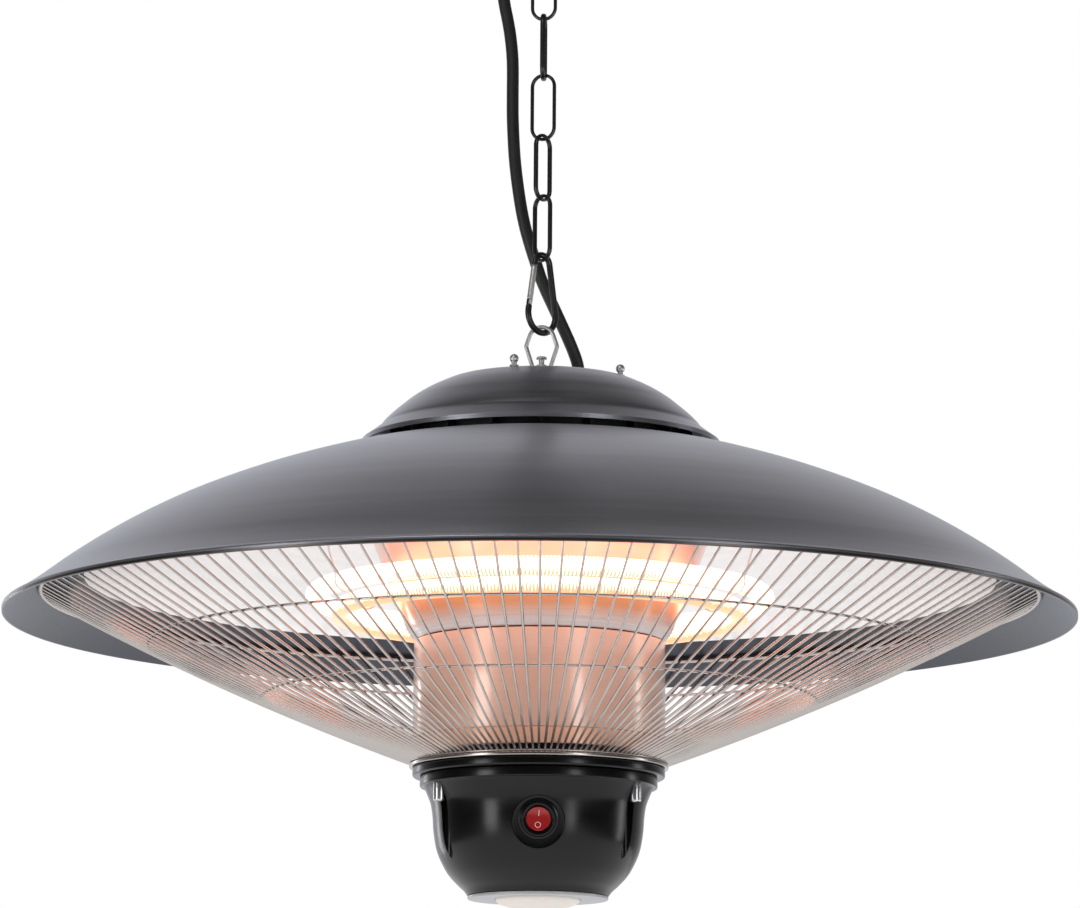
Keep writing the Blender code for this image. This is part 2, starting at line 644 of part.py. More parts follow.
def cap_and_shade(grey, black, steel):
    outline = cap_outline()
    inside = inside_of(outline, CAP_WALL)
    inside[-1] = (CAP_RADIUS - CAP_WALL, CAP_LIP_Z)
    hole = BOLT_SHANK_RADIUS
    closed = [(hole, outline[0][1])] + outline[1:] + list(reversed(inside[1:]))
    closed += [(hole, inside[0][1])]
    cap = place("top_cap", turned(closed, BIG_STEPS), grey)

    for k in range(STUD_COUNT):
        degrees = STUD_FIRST_DEG + 360 * k / STUD_COUNT
        x, y, _ = at_angle(STUD_CIRCLE, degrees, 0)
        dome = height_at(outline, STUD_CIRCLE)[0]
        under = height_at(inside, STUD_CIRCLE + STUD_BODY_RADIUS)[0]
        top = dome + STUD_RISE
        ball = top - STUD_HEAD_RADIUS
        low_deg = -math.degrees(math.acos(STUD_STEM_RADIUS / STUD_HEAD_RADIUS))
        profile = [(0, SHADE_TOP_Z + GAP), (STUD_BODY_RADIUS, SHADE_TOP_Z + GAP)]
        profile += [(STUD_BODY_RADIUS, under - GAP), (STUD_STEM_RADIUS, under - GAP)]
        profile += arc((0.0, ball), STUD_HEAD_RADIUS, low_deg, 90, 4)[:-1] + [(0, top)]
        place(f"cap_stud_{k + 1}", turned(profile, 8), steel, (x, y, 0))
        drill = cylinder(STUD_STEM_RADIUS + GAP, under - OVERRUN, dome + OVERRUN, 8)
        cut(cap, cutter(f"cap_hole_{k + 1}", drill, (x, y, 0)))

    # Cord gland, on the side away from the viewer.
    gland_r = math.hypot(GLAND_X, GLAND_Y)
    seat = height_at(outline, gland_r - GLAND_FLANGE_RADIUS)[0] + GAP
    tip = height_at(outline, gland_r)[0] + GLAND_RISE
    bore = CORD_RADIUS + GAP
    neck = bore + CAP_WALL
    flange_top = seat + GLAND_FLANGE_HEIGHT
    profile = [(neck, tip - GLAND_LENGTH), (neck, seat), (GLAND_FLANGE_RADIUS, seat)]
    profile += [(GLAND_FLANGE_RADIUS, flange_top), (neck + CAP_WALL, flange_top)]
    profile += [(bore + CAP_WALL / 2, tip), (bore, tip), (bore, tip - GLAND_LENGTH)]
    place("cap_gland", turned(profile, SMALL_STEPS), black, (GLAND_X, GLAND_Y, 0))
    drill = cylinder(neck + GAP, seat - GLAND_LENGTH, seat + OVERRUN)
    cut(cap, cutter("cap_gland_hole", drill, (GLAND_X, GLAND_Y, 0)))

    # Vent ring: a band with radial fins under the cap's brim.
    bm = bmesh.new()
    fin_half = VENT_FIN_THICKNESS / 2 / VENT_FIN_RADIUS
    low = SHADE_TOP_Z + GAP
    rings = []
    for k in range(VENT_FIN_COUNT):
        middle = math.tau * k / VENT_FIN_COUNT
        stations = (
            (middle - fin_half, VENT_RING_RADIUS), (middle - fin_half, VENT_FIN_RADIUS),
            (middle + fin_half, VENT_FIN_RADIUS), (middle + fin_half, VENT_RING_RADIUS),
        )
        for angle, outer in stations:
            inner = VENT_RING_RADIUS - VENT_RING_WALL
            ring = []
            for radius, z in (
                (outer, low), (outer, low + VENT_RING_HEIGHT),
                (inner, low + VENT_RING_HEIGHT), (inner, low),
            ):
                ring.append(bm.verts.new((radius * math.cos(angle), radius * math.sin(angle), z)))
            rings.append(ring)
    for first, second in zip(rings, rings[1:] + rings[:1]):
        for i in range(4):
            j = (i + 1) % 4
            bm.faces.new((first[i], first[j], second[j], second[i]))
    bmesh.ops.remove_doubles(bm, verts=bm.verts, dist=1e-7)
    place("vent_ring", bm, black)

    # Shade: flat top plate, long curved cone, short upright lip.
    outline = shade_outline()
    inside = inside_of(outline, SHADE_WALL)
    inside[0] = (SHADE_SHOULDER_RADIUS, SHADE_TOP_Z - SHADE_WALL)
    inside[-1] = (RIM_RADIUS - SHADE_WALL, RIM_Z)
    closed = [(SHADE_HOLE_RADIUS, SHADE_TOP_Z)] + outline + list(reversed(inside))
    closed += [(SHADE_HOLE_RADIUS, SHADE_TOP_Z - SHADE_WALL)]
    place("main_shade", turned(closed, BIG_STEPS), grey)


def column(polished, black, steel):
    # Reflector: a wide dish with a flat plate in the middle.
    outline = reflector_outline()
    under = offset(outline, -REFLECTOR_WALL)
    plate_z = outline[0][1]
    hole = ROD_RADIUS + GAP
    closed = [(hole, plate_z)] + outline + list(reversed(under))
    closed += [(hole, plate_z - REFLECTOR_WALL)]
    place("reflector", turned(closed, BIG_STEPS), polished)

    # Column cone under it.
    seam = RIM_Z + CONE_SEAM_HEIGHT
    top = plate_z - REFLECTOR_WALL - GAP
    points = [(r * CONE_TOP_RADIUS, seam + z * (top - seam)) for r, z in CONE_PROFILE_SHARES]
    inner = offset(points, -COLUMN_WALL)
    inner[0] = (inner[0][0], top)
    inner[-1] = (inner[-1][0], seam)
    place("column_cone", turned(points + list(reversed(inner)), MID_STEPS), polished)

    # Column tube, with a lip turned in at the seam, its lower band and the black neck.
    high = seam - COLUMN_SEAM
    low = high - COLUMN_LENGTH
    wall = COLUMN_RADIUS - COLUMN_WALL
    lip = COLUMN_RADIUS - COLUMN_WALL * 6
    tube = [(lip, high - COLUMN_WALL), (lip, high), (COLUMN_RADIUS, high), (COLUMN_RADIUS, low)]
    tube += [(wall, low), (wall, high - COLUMN_WALL)]
    place("column_tube", turned(tube, MID_STEPS), polished)
    band_high = low - GAP
    band_low = band_high - BAND_LENGTH
    band = [(COLUMN_RADIUS, band_high), (COLUMN_RADIUS, band_low), (wall, band_low), (wall, band_high)]
    place("column_band", turned(band, MID_STEPS), polished)
    neck_high = band_low - GAP
    neck_low = FLANGE_TOP_Z + GAP
    hollow = NECK_RADIUS - NECK_WALL
    neck = [(NECK_RADIUS, neck_high), (NECK_RADIUS, neck_low), (hollow, neck_low), (hollow, neck_high)]
    place("housing_neck", turned(neck, MID_STEPS), black)

    # Tie rod: carries the plates between its flanges and the housing at its foot.
    head = CAP_TOP_Z - CAP_WALL - ROD_FLANGE_THICKNESS - GAP
    profile = [(0, head), (ROD_RADIUS, head)]
    for plate in (SHADE_TOP_Z - SHADE_WALL, plate_z - REFLECTOR_WALL):
        seat = plate - GAP
        wide = SHADE_HOLE_RADIUS + ROD_RADIUS if plate > plate_z else ROD_FLANGE_RADIUS
        profile += [(ROD_RADIUS, seat), (wide, seat), (wide, seat - ROD_FLANGE_THICKNESS)]
        profile += [(ROD_RADIUS, seat - ROD_FLANGE_THICKNESS)]
    foot = FLANGE_TOP_Z - FLANGE_THICKNESS - ROD_FLANGE_THICKNESS
    profile += [(ROD_RADIUS, foot), (0, foot)]
    place("tie_rod", turned(profile, SMALL_STEPS), steel)


# Heating tubes, their end sockets, strap and clips.


def heating_tubes(glow, ceramic, steel):
    rings = (
        ("upper", UPPER_RING_RADIUS, RIM_Z + UPPER_RING_HEIGHT),
        ("lower", LOWER_RING_RADIUS, RIM_Z + LOWER_RING_HEIGHT),
    )
    depth = UPPER_RING_RADIUS - LOWER_RING_RADIUS - GAP
    for name, radius, z in rings:
        # The tube's cut end leans by its own angle and half a facet.
        face = SOCKET_WIDTH / 2 + GAP
        lean = math.asin(face / radius) + math.pi / TUBE_STEPS
        end_deg = math.degrees(math.asin((face + TUBE_RADIUS * math.sin(lean)) / radius))
        path = arc((0.0, 0.0), radius, 90 + end_deg, 450 - end_deg, TUBE_STEPS)
        made = swept(path, round_section(2 * TUBE_RADIUS, TUBE_SIDES))
        bmesh.ops.rotate(made, matrix=Matrix.Rotation(-math.pi / 2, 3, "X"), verts=made.verts)
        place(f"heating_tube_{name}", made, glow, (0, 0, z))
        size = (SOCKET_WIDTH, depth, SOCKET_HEIGHT)
        place(f"tube_socket_{name}", box(size, (0, radius, z)), ceramic)

    # A bent strap behind the sockets hangs them from the reflector.
    under = offset(reflector_outline(), -REFLECTOR_WALL)
    back = UPPER_RING_RADIUS + depth / 2 + GAP + STRAP_THICKNESS / 2
    foot_end = back + STRAP_FOOT
    foot_z, slope = height_at(under, foot_end)
    bend_z = height_at(under, back)[0]
    drop = (STRAP_THICKNESS / 2 + GAP) * math.hypot(1, slope)
    low = RIM_Z + UPPER_RING_HEIGHT - SOCKET_HEIGHT / 2
    path = [(back, low), (back, bend_z - drop - STRAP_THICKNESS), (foot_end, foot_z - drop)]
    half = STRAP_THICKNESS / 2
    section = [(s * half, t * STRAP_WIDTH / 2) for s, t in ((-1, -1), (1, -1), (1, 1), (-1, 1))]
    place("tube_strap", swept(path, section), steel, (0, 0, 0), math.radians(90))

    # Wire clips reach down from the reflector and run under both tubes.
    cradle = TUBE_RADIUS + GAP + CLIP_WIRE / 2
    top_z, slope = height_at(under, CLIP_TOP_RADIUS)
    top_z -= (CLIP_WIRE / 2 + GAP) * math.hypot(1, slope)
    path = [(CLIP_TOP_RADIUS, top_z)]
    path += arc((UPPER_RING_RADIUS, RIM_Z + UPPER_RING_HEIGHT), cradle, 20, -95, 6)
    path += arc((LOWER_RING_RADIUS, RIM_Z + LOWER_RING_HEIGHT), cradle, -65, -190, 6)
    for k, degrees in enumerate(CLIP_ANGLES_DEG):
        made = swept(path, round_section(CLIP_WIRE, 4))
        place(f"tube_clip_{k + 1}", made, steel, (0, 0, 0), math.radians(degrees - 90))


# Wire guard.


def wire_guard(chrome):
    path = guard_wire_path()
    half = WIRE_SIZE / 2
    hub_z = path[0][1]
    bm = bmesh.new()
    hub = []
    for k in range(WIRE_COUNT):
        middle = math.tau * k / WIRE_COUNT
        radial = Vector((math.cos(middle), math.sin(middle), 0))
        across = Vector((-math.sin(middle), math.cos(middle), 0))
        # The wire grows out of the hub's outer face; the hub is three-sided, with a point inside.
        last = []
        for s, t in ((-1, -1), (-1, 1), (1, 1), (1, -1)):
            root = radial * HUB_RADIUS + across * (t * half)
            last.append(bm.verts.new(root + Vector((0, 0, hub_z + s * HUB_HEIGHT / 2))))
        inner = bm.verts.new(radial * (HUB_RADIUS - HUB_WALL) + Vector((0, 0, hub_z)))
        hub.append((last, inner))
        bm.faces.new((last[0], last[1], inner))
        bm.faces.new((last[2], last[3], inner))
        for j, (radius, z) in enumerate(path[1:], start=1):
            before = path[j - 1]
            after = path[min(j + 1, len(path) - 1)]
            along = Vector((after[0] - before[0], after[1] - before[1])).normalized()
            normal = radial * -along.y + Vector((0, 0, along.x))
            centre = radial * radius + Vector((0, 0, z))
            ring = []
            for s, t in ((-1, -1), (-1, 1), (1, 1), (1, -1)):
                ring.append(bm.verts.new(centre + normal * (s * half) + across * (t * half)))
            for i in range(4):
                bm.faces.new((last[i], last[(i + 1) % 4], ring[(i + 1) % 4], ring[i]))
            last = ring
        bm.faces.new(last)
    for (left, left_point), (right, right_point) in zip(hub, hub[1:] + hub[:1]):
        bm.faces.new((left[1], right[0], right[3], left[2]))
        bm.faces.new((left[2], right[3], right_point, left_point))
        bm.faces.new((left[1], left_point, right_point, right[0]))
    place("guard_grille", bm, chrome, sharp_deg=50)

    # Channel ring, and two ring wires that lie on the inside of the radial wires.
    rim = guard_rim_centre()
    outline = [(rim[0] + a, rim[1] + b) for a, b in round_section(GUARD_RIM_WIRE, 6)]
    place("guard_rim", turned(outline, BIG_STEPS), chrome)
    for k, radius in enumerate(RING_RADII):
        height, slope = height_at(path, radius)
        lift = (half + GAP) * math.hypot(1, slope) + RING_WIRE / 2 * (1 + abs(slope))
        outline = [
            (radius + s * RING_WIRE / 2, height + lift + t * RING_WIRE / 2)
            for s, t in ((-1, -1), (1, -1), (1, 1), (-1, 1))
        ]
        place(f"guard_ring_{k + 1}", turned(outline, BIG_STEPS), chrome)
    collar_low = FLANGE_TOP_Z + GAP
    inner = COLLAR_RADIUS - HUB_WALL
    collar = [(COLLAR_RADIUS, collar_low), (COLLAR_RADIUS, collar_low + COLLAR_HEIGHT)]
    collar += [(inner, collar_low + COLLAR_HEIGHT), (inner, collar_low)]
    place("guard_collar", turned(collar, MID_STEPS), chrome)


# Lower housing.


def housing(gloss, chrome):
    hole = ROD_RADIUS + GAP
    top = FLANGE_TOP_Z
    low = top - FLANGE_THICKNESS
    edge = FLANGE_EDGE
    flange = [(hole, top), (FLANGE_RADIUS - edge, top), (FLANGE_RADIUS, top - edge)]
    flange += [(FLANGE_RADIUS, low + edge), (FLANGE_RADIUS - edge, low), (hole, low)]
    place("housing_flange", turned(flange, MID_STEPS), gloss)

    outer = [(BOWL_RADIUS, BOWL_TOP_Z), (BOWL_RADIUS, BOWL_RING_Z)]
    outer += [(r * BOWL_RADIUS, BOWL_TOP_Z - z * BOWL_HEIGHT) for r, z in BOWL_PROFILE_SHARES]
    inner = [(r * BOWL_RADIUS, BOWL_BOTTOM_Z + z * BOWL_HEIGHT) for r, z in BOWL_CAVITY_SHARES]
    bowl = place("housing_bowl", turned(outer + inner, MID_STEPS), gloss)

    # Barrel screws, each at the head of a slot with a rounded back.
    half = BARREL_RADIUS + SLOT_CLEARANCE
    back = BOWL_RADIUS * SLOT_BACK_SHARE + half
    slot = [(back + x, y) for x, y in arc((0.0, 0.0), half, 90, 270, 8)]
    slot += [(BOWL_RADIUS + OVERRUN, -half), (BOWL_RADIUS + OVERRUN, half)]
    slot_low = BOWL_TOP_Z - BOWL_HEIGHT * SLOT_DEPTH_SHARE
    high = BOWL_RING_Z - GAP
    for k in range(BARREL_COUNT):
        degrees = BARREL_FIRST_DEG + 360 * k / BARREL_COUNT
        turn = math.radians(degrees - 90)
        groove = prism(slot, slot_low, BOWL_RING_Z)
        cut(bowl, cutter(f"slot_{k + 1}", groove, (0, 0, 0), turn))
        x, y, _ = at_angle(BARREL_CIRCLE, degrees, 0)
        drill = cylinder(BARREL_SHANK_RADIUS + GAP, BOWL_RING_Z - OVERRUN, BOWL_TOP_Z + OVERRUN, 12)
        cut(bowl, cutter(f"barrel_hole_{k + 1}", drill, (x, y, 0)))
        barrel = [(0, high - BARREL_LENGTH), (BARREL_RADIUS, high - BARREL_LENGTH)]
        barrel += [(BARREL_RADIUS, high), (BARREL_SHANK_RADIUS, high)]
        barrel += [(BARREL_SHANK_RADIUS, BOWL_TOP_Z + GAP / 2), (0, BOWL_TOP_Z + GAP / 2)]
        place(f"housing_screw_{k + 1}", turned(barrel, 12), chrome, (x, y, 0))

    # Round switch, let into a round recess that faces the viewer and a little down.
    recess = cylinder(SWITCH_RECESS_RADIUS, 0, SWITCH_BODY_LENGTH, 32)
    bmesh.ops.translate(recess, verts=recess.verts, vec=(0, -SWITCH_RECESS_DROP, 0))
    bore = cylinder(SWITCH_BODY_RADIUS + GAP, -SWITCH_BODY_LENGTH, SWITCH_BODY_LENGTH, 24)
    cut(bowl, cutter("switch_recess", in_switch(recess)))
    cut(bowl, cutter("switch_hole", in_switch(bore)))
    face = GAP + BEZEL_THICKNESS
    well = face - ROCKER_AXIS_DEPTH - ROCKER_WELL_DEPTH
    frame = [(0, GAP - SWITCH_BODY_LENGTH), (SWITCH_BODY_RADIUS, GAP - SWITCH_BODY_LENGTH)]
    frame += [(SWITCH_BODY_RADIUS, GAP), (BEZEL_RADIUS, GAP), (BEZEL_RADIUS, face / 2)]
    frame += [(BEZEL_LIP_RADIUS, face / 2), (BEZEL_LIP_RADIUS, face), (ROCKER_WELL_RADIUS, face)]
    frame += [(ROCKER_WELL_RADIUS, well), (0, well)]
    place("switch_frame", in_switch(turned(frame, 24)), gloss)


def rocker(red):
    """A round rocker with a hollowed face, pressed in at its upper side."""
    axis = Matrix.Translation((0, 0, GAP + BEZEL_THICKNESS - ROCKER_AXIS_DEPTH))
    tilt = axis @ Matrix.Rotation(math.radians(ROCKER_TILT_DEG), 4, "X")
    bm = cylinder(ROCKER_RADIUS, -ROCKER_BACK, ROCKER_FRONT, 24)
    bmesh.ops.transform(bm, matrix=tilt, verts=bm.verts)
    obj = place("switch_rocker", in_switch(bm), red)
    sag = math.sqrt(ROCKER_HOLLOW_RADIUS**2 - ROCKER_RADIUS**2)
    hollow = cylinder(ROCKER_HOLLOW_RADIUS, -ROCKER_RADIUS * 2, ROCKER_RADIUS * 2, 48)
    bmesh.ops.rotate(hollow, matrix=Matrix.Rotation(math.pi / 2, 3, "Y"), verts=hollow.verts)
    bmesh.ops.translate(hollow, verts=hollow.verts, vec=(0, 0, ROCKER_FRONT + sag))
    bmesh.ops.transform(hollow, matrix=tilt, verts=hollow.verts)
    cut(obj, cutter("rocker_hollow", in_switch(hollow)))


def lamp(light_grey, frosted, board_green):
    # The ring's neck goes up into the bowl's mouth and holds the lens and its board.
    high = LENS_RING_Z
    low = high - LENS_RING_HEIGHT
    chamfer = LENS_RING_HEIGHT / 3
    bore = LENS_RADIUS + GAP
    step = LENS_FLANGE_RADIUS + GAP
    shelf = low + LENS_RING_HEIGHT * 0.6
    neck = BOWL_MOUTH_RADIUS - GAP
    ring = [(step, high + LENS_SPIGOT_HEIGHT), (neck, high + LENS_SPIGOT_HEIGHT), (neck, high)]
    ring += [(LENS_RING_RADIUS, high), (LENS_RING_RADIUS, low + chamfer)]
    ring += [(LENS_RING_RADIUS - chamfer, low), (bore, low), (bore, shelf), (step, shelf)]
    place("lens_ring", turned(ring, MID_STEPS), light_grey)

    flange_low = shelf + GAP
    flange_high = flange_low + LENS_FLANGE_THICKNESS
    lens = [(0, flange_high), (LENS_FLANGE_RADIUS, flange_high), (LENS_FLANGE_RADIUS, flange_low)]
    lens += [(LENS_RADIUS, flange_low), (LENS_RADIUS, low)]
    for share in (0.9, 0.6, 0.3):
        lens.append((LENS_RADIUS * share, low - LENS_BULGE * math.sqrt(1 - share**2)))
    lens.append((0, low - LENS_BULGE))
    place("lens_diffuser", turned(lens, 24), frosted)
    board_low = flange_high + GAP
    board = cylinder(LENS_FLANGE_RADIUS, board_low, board_low + LED_BOARD_THICKNESS, 24)
    place("led_board", board, board_green)


def power_cord(rubber):
    gland_r = math.hypot(GLAND_X, GLAND_Y)
    tip = height_at(cap_outline(), gland_r)[0] + GLAND_RISE
    grip_tip = -CANOPY_HEIGHT - GAP - GRIP_LENGTH
    straight = 2 * CORD_RADIUS
    top_end = -CANOPY_HEIGHT + CANOPY_WALL + CORD_INSIDE
    route = [(GRIP_X, GRIP_Y, grip_tip - straight / 2), *CORD_ROUTE]
    route += [(GLAND_X, GLAND_Y, tip)]
    points = [(GRIP_X, GRIP_Y, top_end), (GRIP_X, GRIP_Y, grip_tip)]
    points += smooth(route, 1)
    points += [(GLAND_X, GLAND_Y, tip - GLAND_LENGTH - CORD_INSIDE)]
    curve = bpy.data.curves.new("power_cord", "CURVE")
    curve.dimensions = "3D"
    curve.bevel_depth = CORD_RADIUS
    curve.bevel_resolution = 2
    curve.use_fill_caps = True
    spline = curve.splines.new("POLY")
    spline.points.add(len(points) - 1)
    for slot, point in zip(spline.points, points):
        slot.co = (*point, 1.0)
    curve.materials.append(rubber)
    obj = bpy.data.objects.new("power_cord", curve)
    bpy.context.scene.collection.objects.link(obj)
    length = sum((Vector(b) - Vector(a)).length for a, b in zip(points, points[1:]))
    print(f"power cord: {length:.4f} m along its middle line")


def main():
    clear_scene()
    grey = material("Brushed grey aluminium", (0.16, 0.165, 0.175), 0.38, 0.9)
    black = material("Black coated steel", (0.02, 0.02, 0.022), 0.35, 0.3)
    gloss = material("Black gloss plastic", (0.018, 0.018, 0.02), 0.12, 0.0)
    silver = material("Silver steel", (0.62, 0.62, 0.64), 0.22, 1.0)
    steel = material("Zinc-plated steel", (0.50, 0.50, 0.50), 0.35, 1.0)
    chrome = material("Chromed wire", (0.70, 0.70, 0.72), 0.15, 1.0)
    polished = material("Polished aluminium", (0.88, 0.88, 0.89), 0.10, 1.0)
    glow = material("Glowing tube", (1.0, 0.80, 0.52), 0.3, 0.0, 4.0)
    ceramic = material("White ceramic", (0.85, 0.83, 0.78), 0.6, 0.0)
    rubber = material("Black cord sheath", (0.016, 0.017, 0.018), 0.5, 0.0)
    red = material("Red switch plastic", (0.50, 0.015, 0.02), 0.25, 0.0)
    light_grey = material("Light grey plastic", (0.62, 0.62, 0.63), 0.35, 0.0)
    frosted = material("Frosted lens", (0.93, 0.90, 0.88), 0.45, 0.0, 0.3)
    board_green = material("Circuit board", (0.05, 0.22, 0.12), 0.5, 0.0)
    ceiling_fitting(black, steel)
    chain_links(black)
    snap_hook(black, silver, steel)
    bail_and_bolt(silver, steel)
    cap_and_shade(grey, black, steel)
    column(polished, gloss, steel)
    heating_tubes(glow, ceramic, steel)
    wire_guard(chrome)
    housing(gloss, chrome)
    rocker(red)
    lamp(light_grey, frosted, board_green)
    power_cord(rubber)


main()
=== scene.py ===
"""Looks of a ceiling-hung patio heater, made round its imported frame.

Everything is in metres in the row's frame: z = 0 is the ceiling, the heater hangs below it, and
the side with the switch faces -Y.
"""

import json
import math

import bmesh
import bpy
from mathutils import Matrix, Vector


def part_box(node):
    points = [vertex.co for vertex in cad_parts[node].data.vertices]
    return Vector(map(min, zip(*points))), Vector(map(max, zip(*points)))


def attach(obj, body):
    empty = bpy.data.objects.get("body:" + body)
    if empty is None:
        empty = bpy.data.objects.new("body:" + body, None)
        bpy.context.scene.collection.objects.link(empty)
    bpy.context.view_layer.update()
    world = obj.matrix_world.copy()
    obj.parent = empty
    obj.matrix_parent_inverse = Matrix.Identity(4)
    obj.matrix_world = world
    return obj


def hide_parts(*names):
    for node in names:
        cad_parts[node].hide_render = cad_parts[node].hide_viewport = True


bl_info = {
    "name": "Hanging patio heater",
    "version": (1, 0, 0),
    "blender": (4, 5, 0),
    "location": "View3D > Sidebar > Heater",
    "description": "Builds the visible pieces, finishes and stage of a ceiling-hung patio heater",
    "category": "Object",
}

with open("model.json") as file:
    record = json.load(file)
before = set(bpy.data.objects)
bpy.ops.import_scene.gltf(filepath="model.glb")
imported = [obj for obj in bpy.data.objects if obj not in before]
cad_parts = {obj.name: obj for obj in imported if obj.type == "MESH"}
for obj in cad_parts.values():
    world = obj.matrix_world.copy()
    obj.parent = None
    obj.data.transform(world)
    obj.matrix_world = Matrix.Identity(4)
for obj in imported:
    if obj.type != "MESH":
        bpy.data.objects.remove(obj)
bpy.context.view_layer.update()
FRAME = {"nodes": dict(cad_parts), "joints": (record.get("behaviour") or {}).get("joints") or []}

# Heights of the frame's main pieces, read from the frame itself.
RIM_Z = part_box("main_shade")[0][2]
SHADE_TOP_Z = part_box("main_shade")[1][2]
RIM_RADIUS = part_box("main_shade")[1][0]
CAP_LIP_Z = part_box("top_cap")[0][2]
CAP_TOP_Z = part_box("top_cap")[1][2]
CAP_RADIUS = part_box("top_cap")[1][0]
BOWL_TOP_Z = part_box("housing_bowl")[1][2]
BOWL_BOTTOM_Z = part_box("housing_bowl")[0][2]
BOWL_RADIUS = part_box("housing_bowl")[1][0]
UPPER_TUBE_Z = RIM_Z + 0.0135
LOWER_TUBE_Z = RIM_Z + 0.0045
PIVOT = {joint["name"]: Vector(joint["pos_m"]) for joint in FRAME["joints"]}

GAP = 0.0003
LINK_WIDTH = 0.0154
LINK_YAWS_DEG = (-12, 85, -20, 54, -50)
SNAP_YAW_DEG = 45
SNAP_LENGTH = 0.0488
COLUMN_RADIUS = 0.0710
NECK_RADIUS = 0.0695
ROD_HOLE = 0.0063
UPPER_RING_RADIUS = 0.1270
LOWER_RING_RADIUS = 0.1130
GUARD_HUB_RADIUS = 0.0727
BOWL_MOUTH_SHARE = 0.53
FIRST_SCREW_DEG = -61.3
SWITCH_TILT_DEG = 9
BEZEL_FACE = 0.0022

# The camera as it was fitted to the photo, and the stage round the heater.
CAMERA_SIDE = -0.0005
CAMERA_DROP = 0.4152
CAMERA_PITCH_DEG = 9.674
CAMERA_ROLL = 0.0069
SENSOR_MM = 36.0
STRIP_HEIGHT = 0.7
FLOOR_Z = -2.4
FLOOR_SIZE = 9.0
FLOOR_GLOW = 0.40

# The lead's route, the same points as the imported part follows, from the ceiling to the cap.
CORD_ROUTE = (
    (-0.0262, 0.0200, -0.0144), (-0.0262, 0.0200, -0.0383), (-0.0262, 0.0200, -0.0418),
    (-0.0245, 0.0200, -0.0700), (-0.0231, 0.0200, -0.0843), (-0.0197, 0.0200, -0.1023),
    (-0.0179, 0.0200, -0.1196), (-0.0177, 0.0195, -0.1412), (-0.0175, 0.0190, -0.1557),
    (-0.0163, 0.0185, -0.1771), (-0.0141, 0.0185, -0.1958), (-0.0112, 0.0190, -0.2128),
    (-0.0076, 0.0200, -0.2267), (-0.0026, 0.0215, -0.2420), (0.0009, 0.0228, -0.2516),
    (0.0080, 0.0258, -0.2665), (0.0151, 0.0297, -0.2813), (0.0186, 0.0321, -0.2893),
    (0.0206, 0.0336, -0.2950), (0.0215, 0.0345, -0.3003), (0.0215, 0.0345, -0.3283),
)

# Outlines as shares of a radius and a height, from the middle outwards or from the top down.
SHADE_SHARES = (
    (0.281, 1.0), (0.36, 0.962), (0.430, 0.912), (0.551, 0.795), (0.666, 0.655),
    (0.752, 0.526), (0.826, 0.394), (0.891, 0.261), (0.954, 0.117), (0.996, 0.0335),
)
CAP_DOME_SHARES = (
    (0.0, 1.0), (0.15, 0.993), (0.295, 0.970), (0.42, 0.938), (0.512, 0.902), (0.587, 0.827),
    (0.645, 0.757), (0.695, 0.684), (0.739, 0.610), (0.778, 0.533), (0.817, 0.453),
    (0.852, 0.376), (0.883, 0.297), (0.900, 0.238),
)
CAP_BRIM_SHARES = ((0.920, 0.201), (0.978, 0.096), (1.0, 0.060), (1.0, 0.0))
# The reflector's go from its flat plate out to its edge.
REFLECTOR_SHARES = (
    (0.0, 1.0), (0.145, 0.94), (0.35, 0.78), (0.573, 0.55), (0.795, 0.27), (1.0, 0.0),
)
CONE_SHARES = (
    (1.0, 1.0), (0.93, 0.80), (0.866, 0.61), (0.79, 0.36), (0.708, 0.108), (0.68, 0.05),
    (0.648, 0.0),
)
BOWL_RING_SHARE = 0.083
BOWL_SHARES = (
    (0.967, 0.083), (0.955, 0.103), (0.928, 0.165), (0.904, 0.235), (0.889, 0.340), (0.882, 0.447),
    (0.863, 0.574), (0.838, 0.660), (0.801, 0.741), (0.752, 0.824), (0.677, 0.907), (0.622, 0.958),
    (0.591, 1.0),
)
BOWL_RING_Z = BOWL_TOP_Z - BOWL_RING_SHARE * (BOWL_TOP_Z - BOWL_BOTTOM_Z)


def number(name, description, default, unit="NONE"):
    """A setting that is one number, in metres where it is a length."""
    return bpy.props.FloatProperty(name=name, description=description, default=default, unit=unit)


class HeaterSizes(bpy.types.PropertyGroup):
    """Sizes that a user would change."""

    wire_count: bpy.props.IntProperty(
        name="Guard wires", description="Radial wires of the guard", default=140, min=8
    )
    wire_diameter: number("Guard wire", "Diameter of a guard wire", 0.0015, "LENGTH")
    rim_wire: number("Guard rim", "Thickness of the guard's rim", 0.0028, "LENGTH")
    shade_wall: number("Shade wall", "Sheet thickness of the shade", 0.0012, "LENGTH")
    tube_radius: number("Tube radius", "Radius of a heating tube", 0.0053, "LENGTH")
    cord_diameter: number("Lead", "Diameter of the lead", 0.007, "LENGTH")
    link_thickness: number("Link wire", "Thickness of a link's wire", 0.0020, "LENGTH")
    vent_fins: bpy.props.IntProperty(
        name="Vent fins", description="Fins in the vent under the cap", default=20, min=4
    )


def colour(name, description, code):
    """A colour setting from an sRGB hex value."""
    return bpy.props.FloatVectorProperty(
        name=name, description=description, size=4, min=0, max=1,
        subtype="COLOR", default=linear(code),
    )


def linear(code):
    """An sRGB hex value as linear red, green, blue and alpha."""
    channels = [int(code[i : i + 2], 16) / 255 for i in (1, 3, 5)]
    return (*[c / 12.92 if c <= 0.04045 else ((c + 0.055) / 1.055) ** 2.4 for c in channels], 1.0)


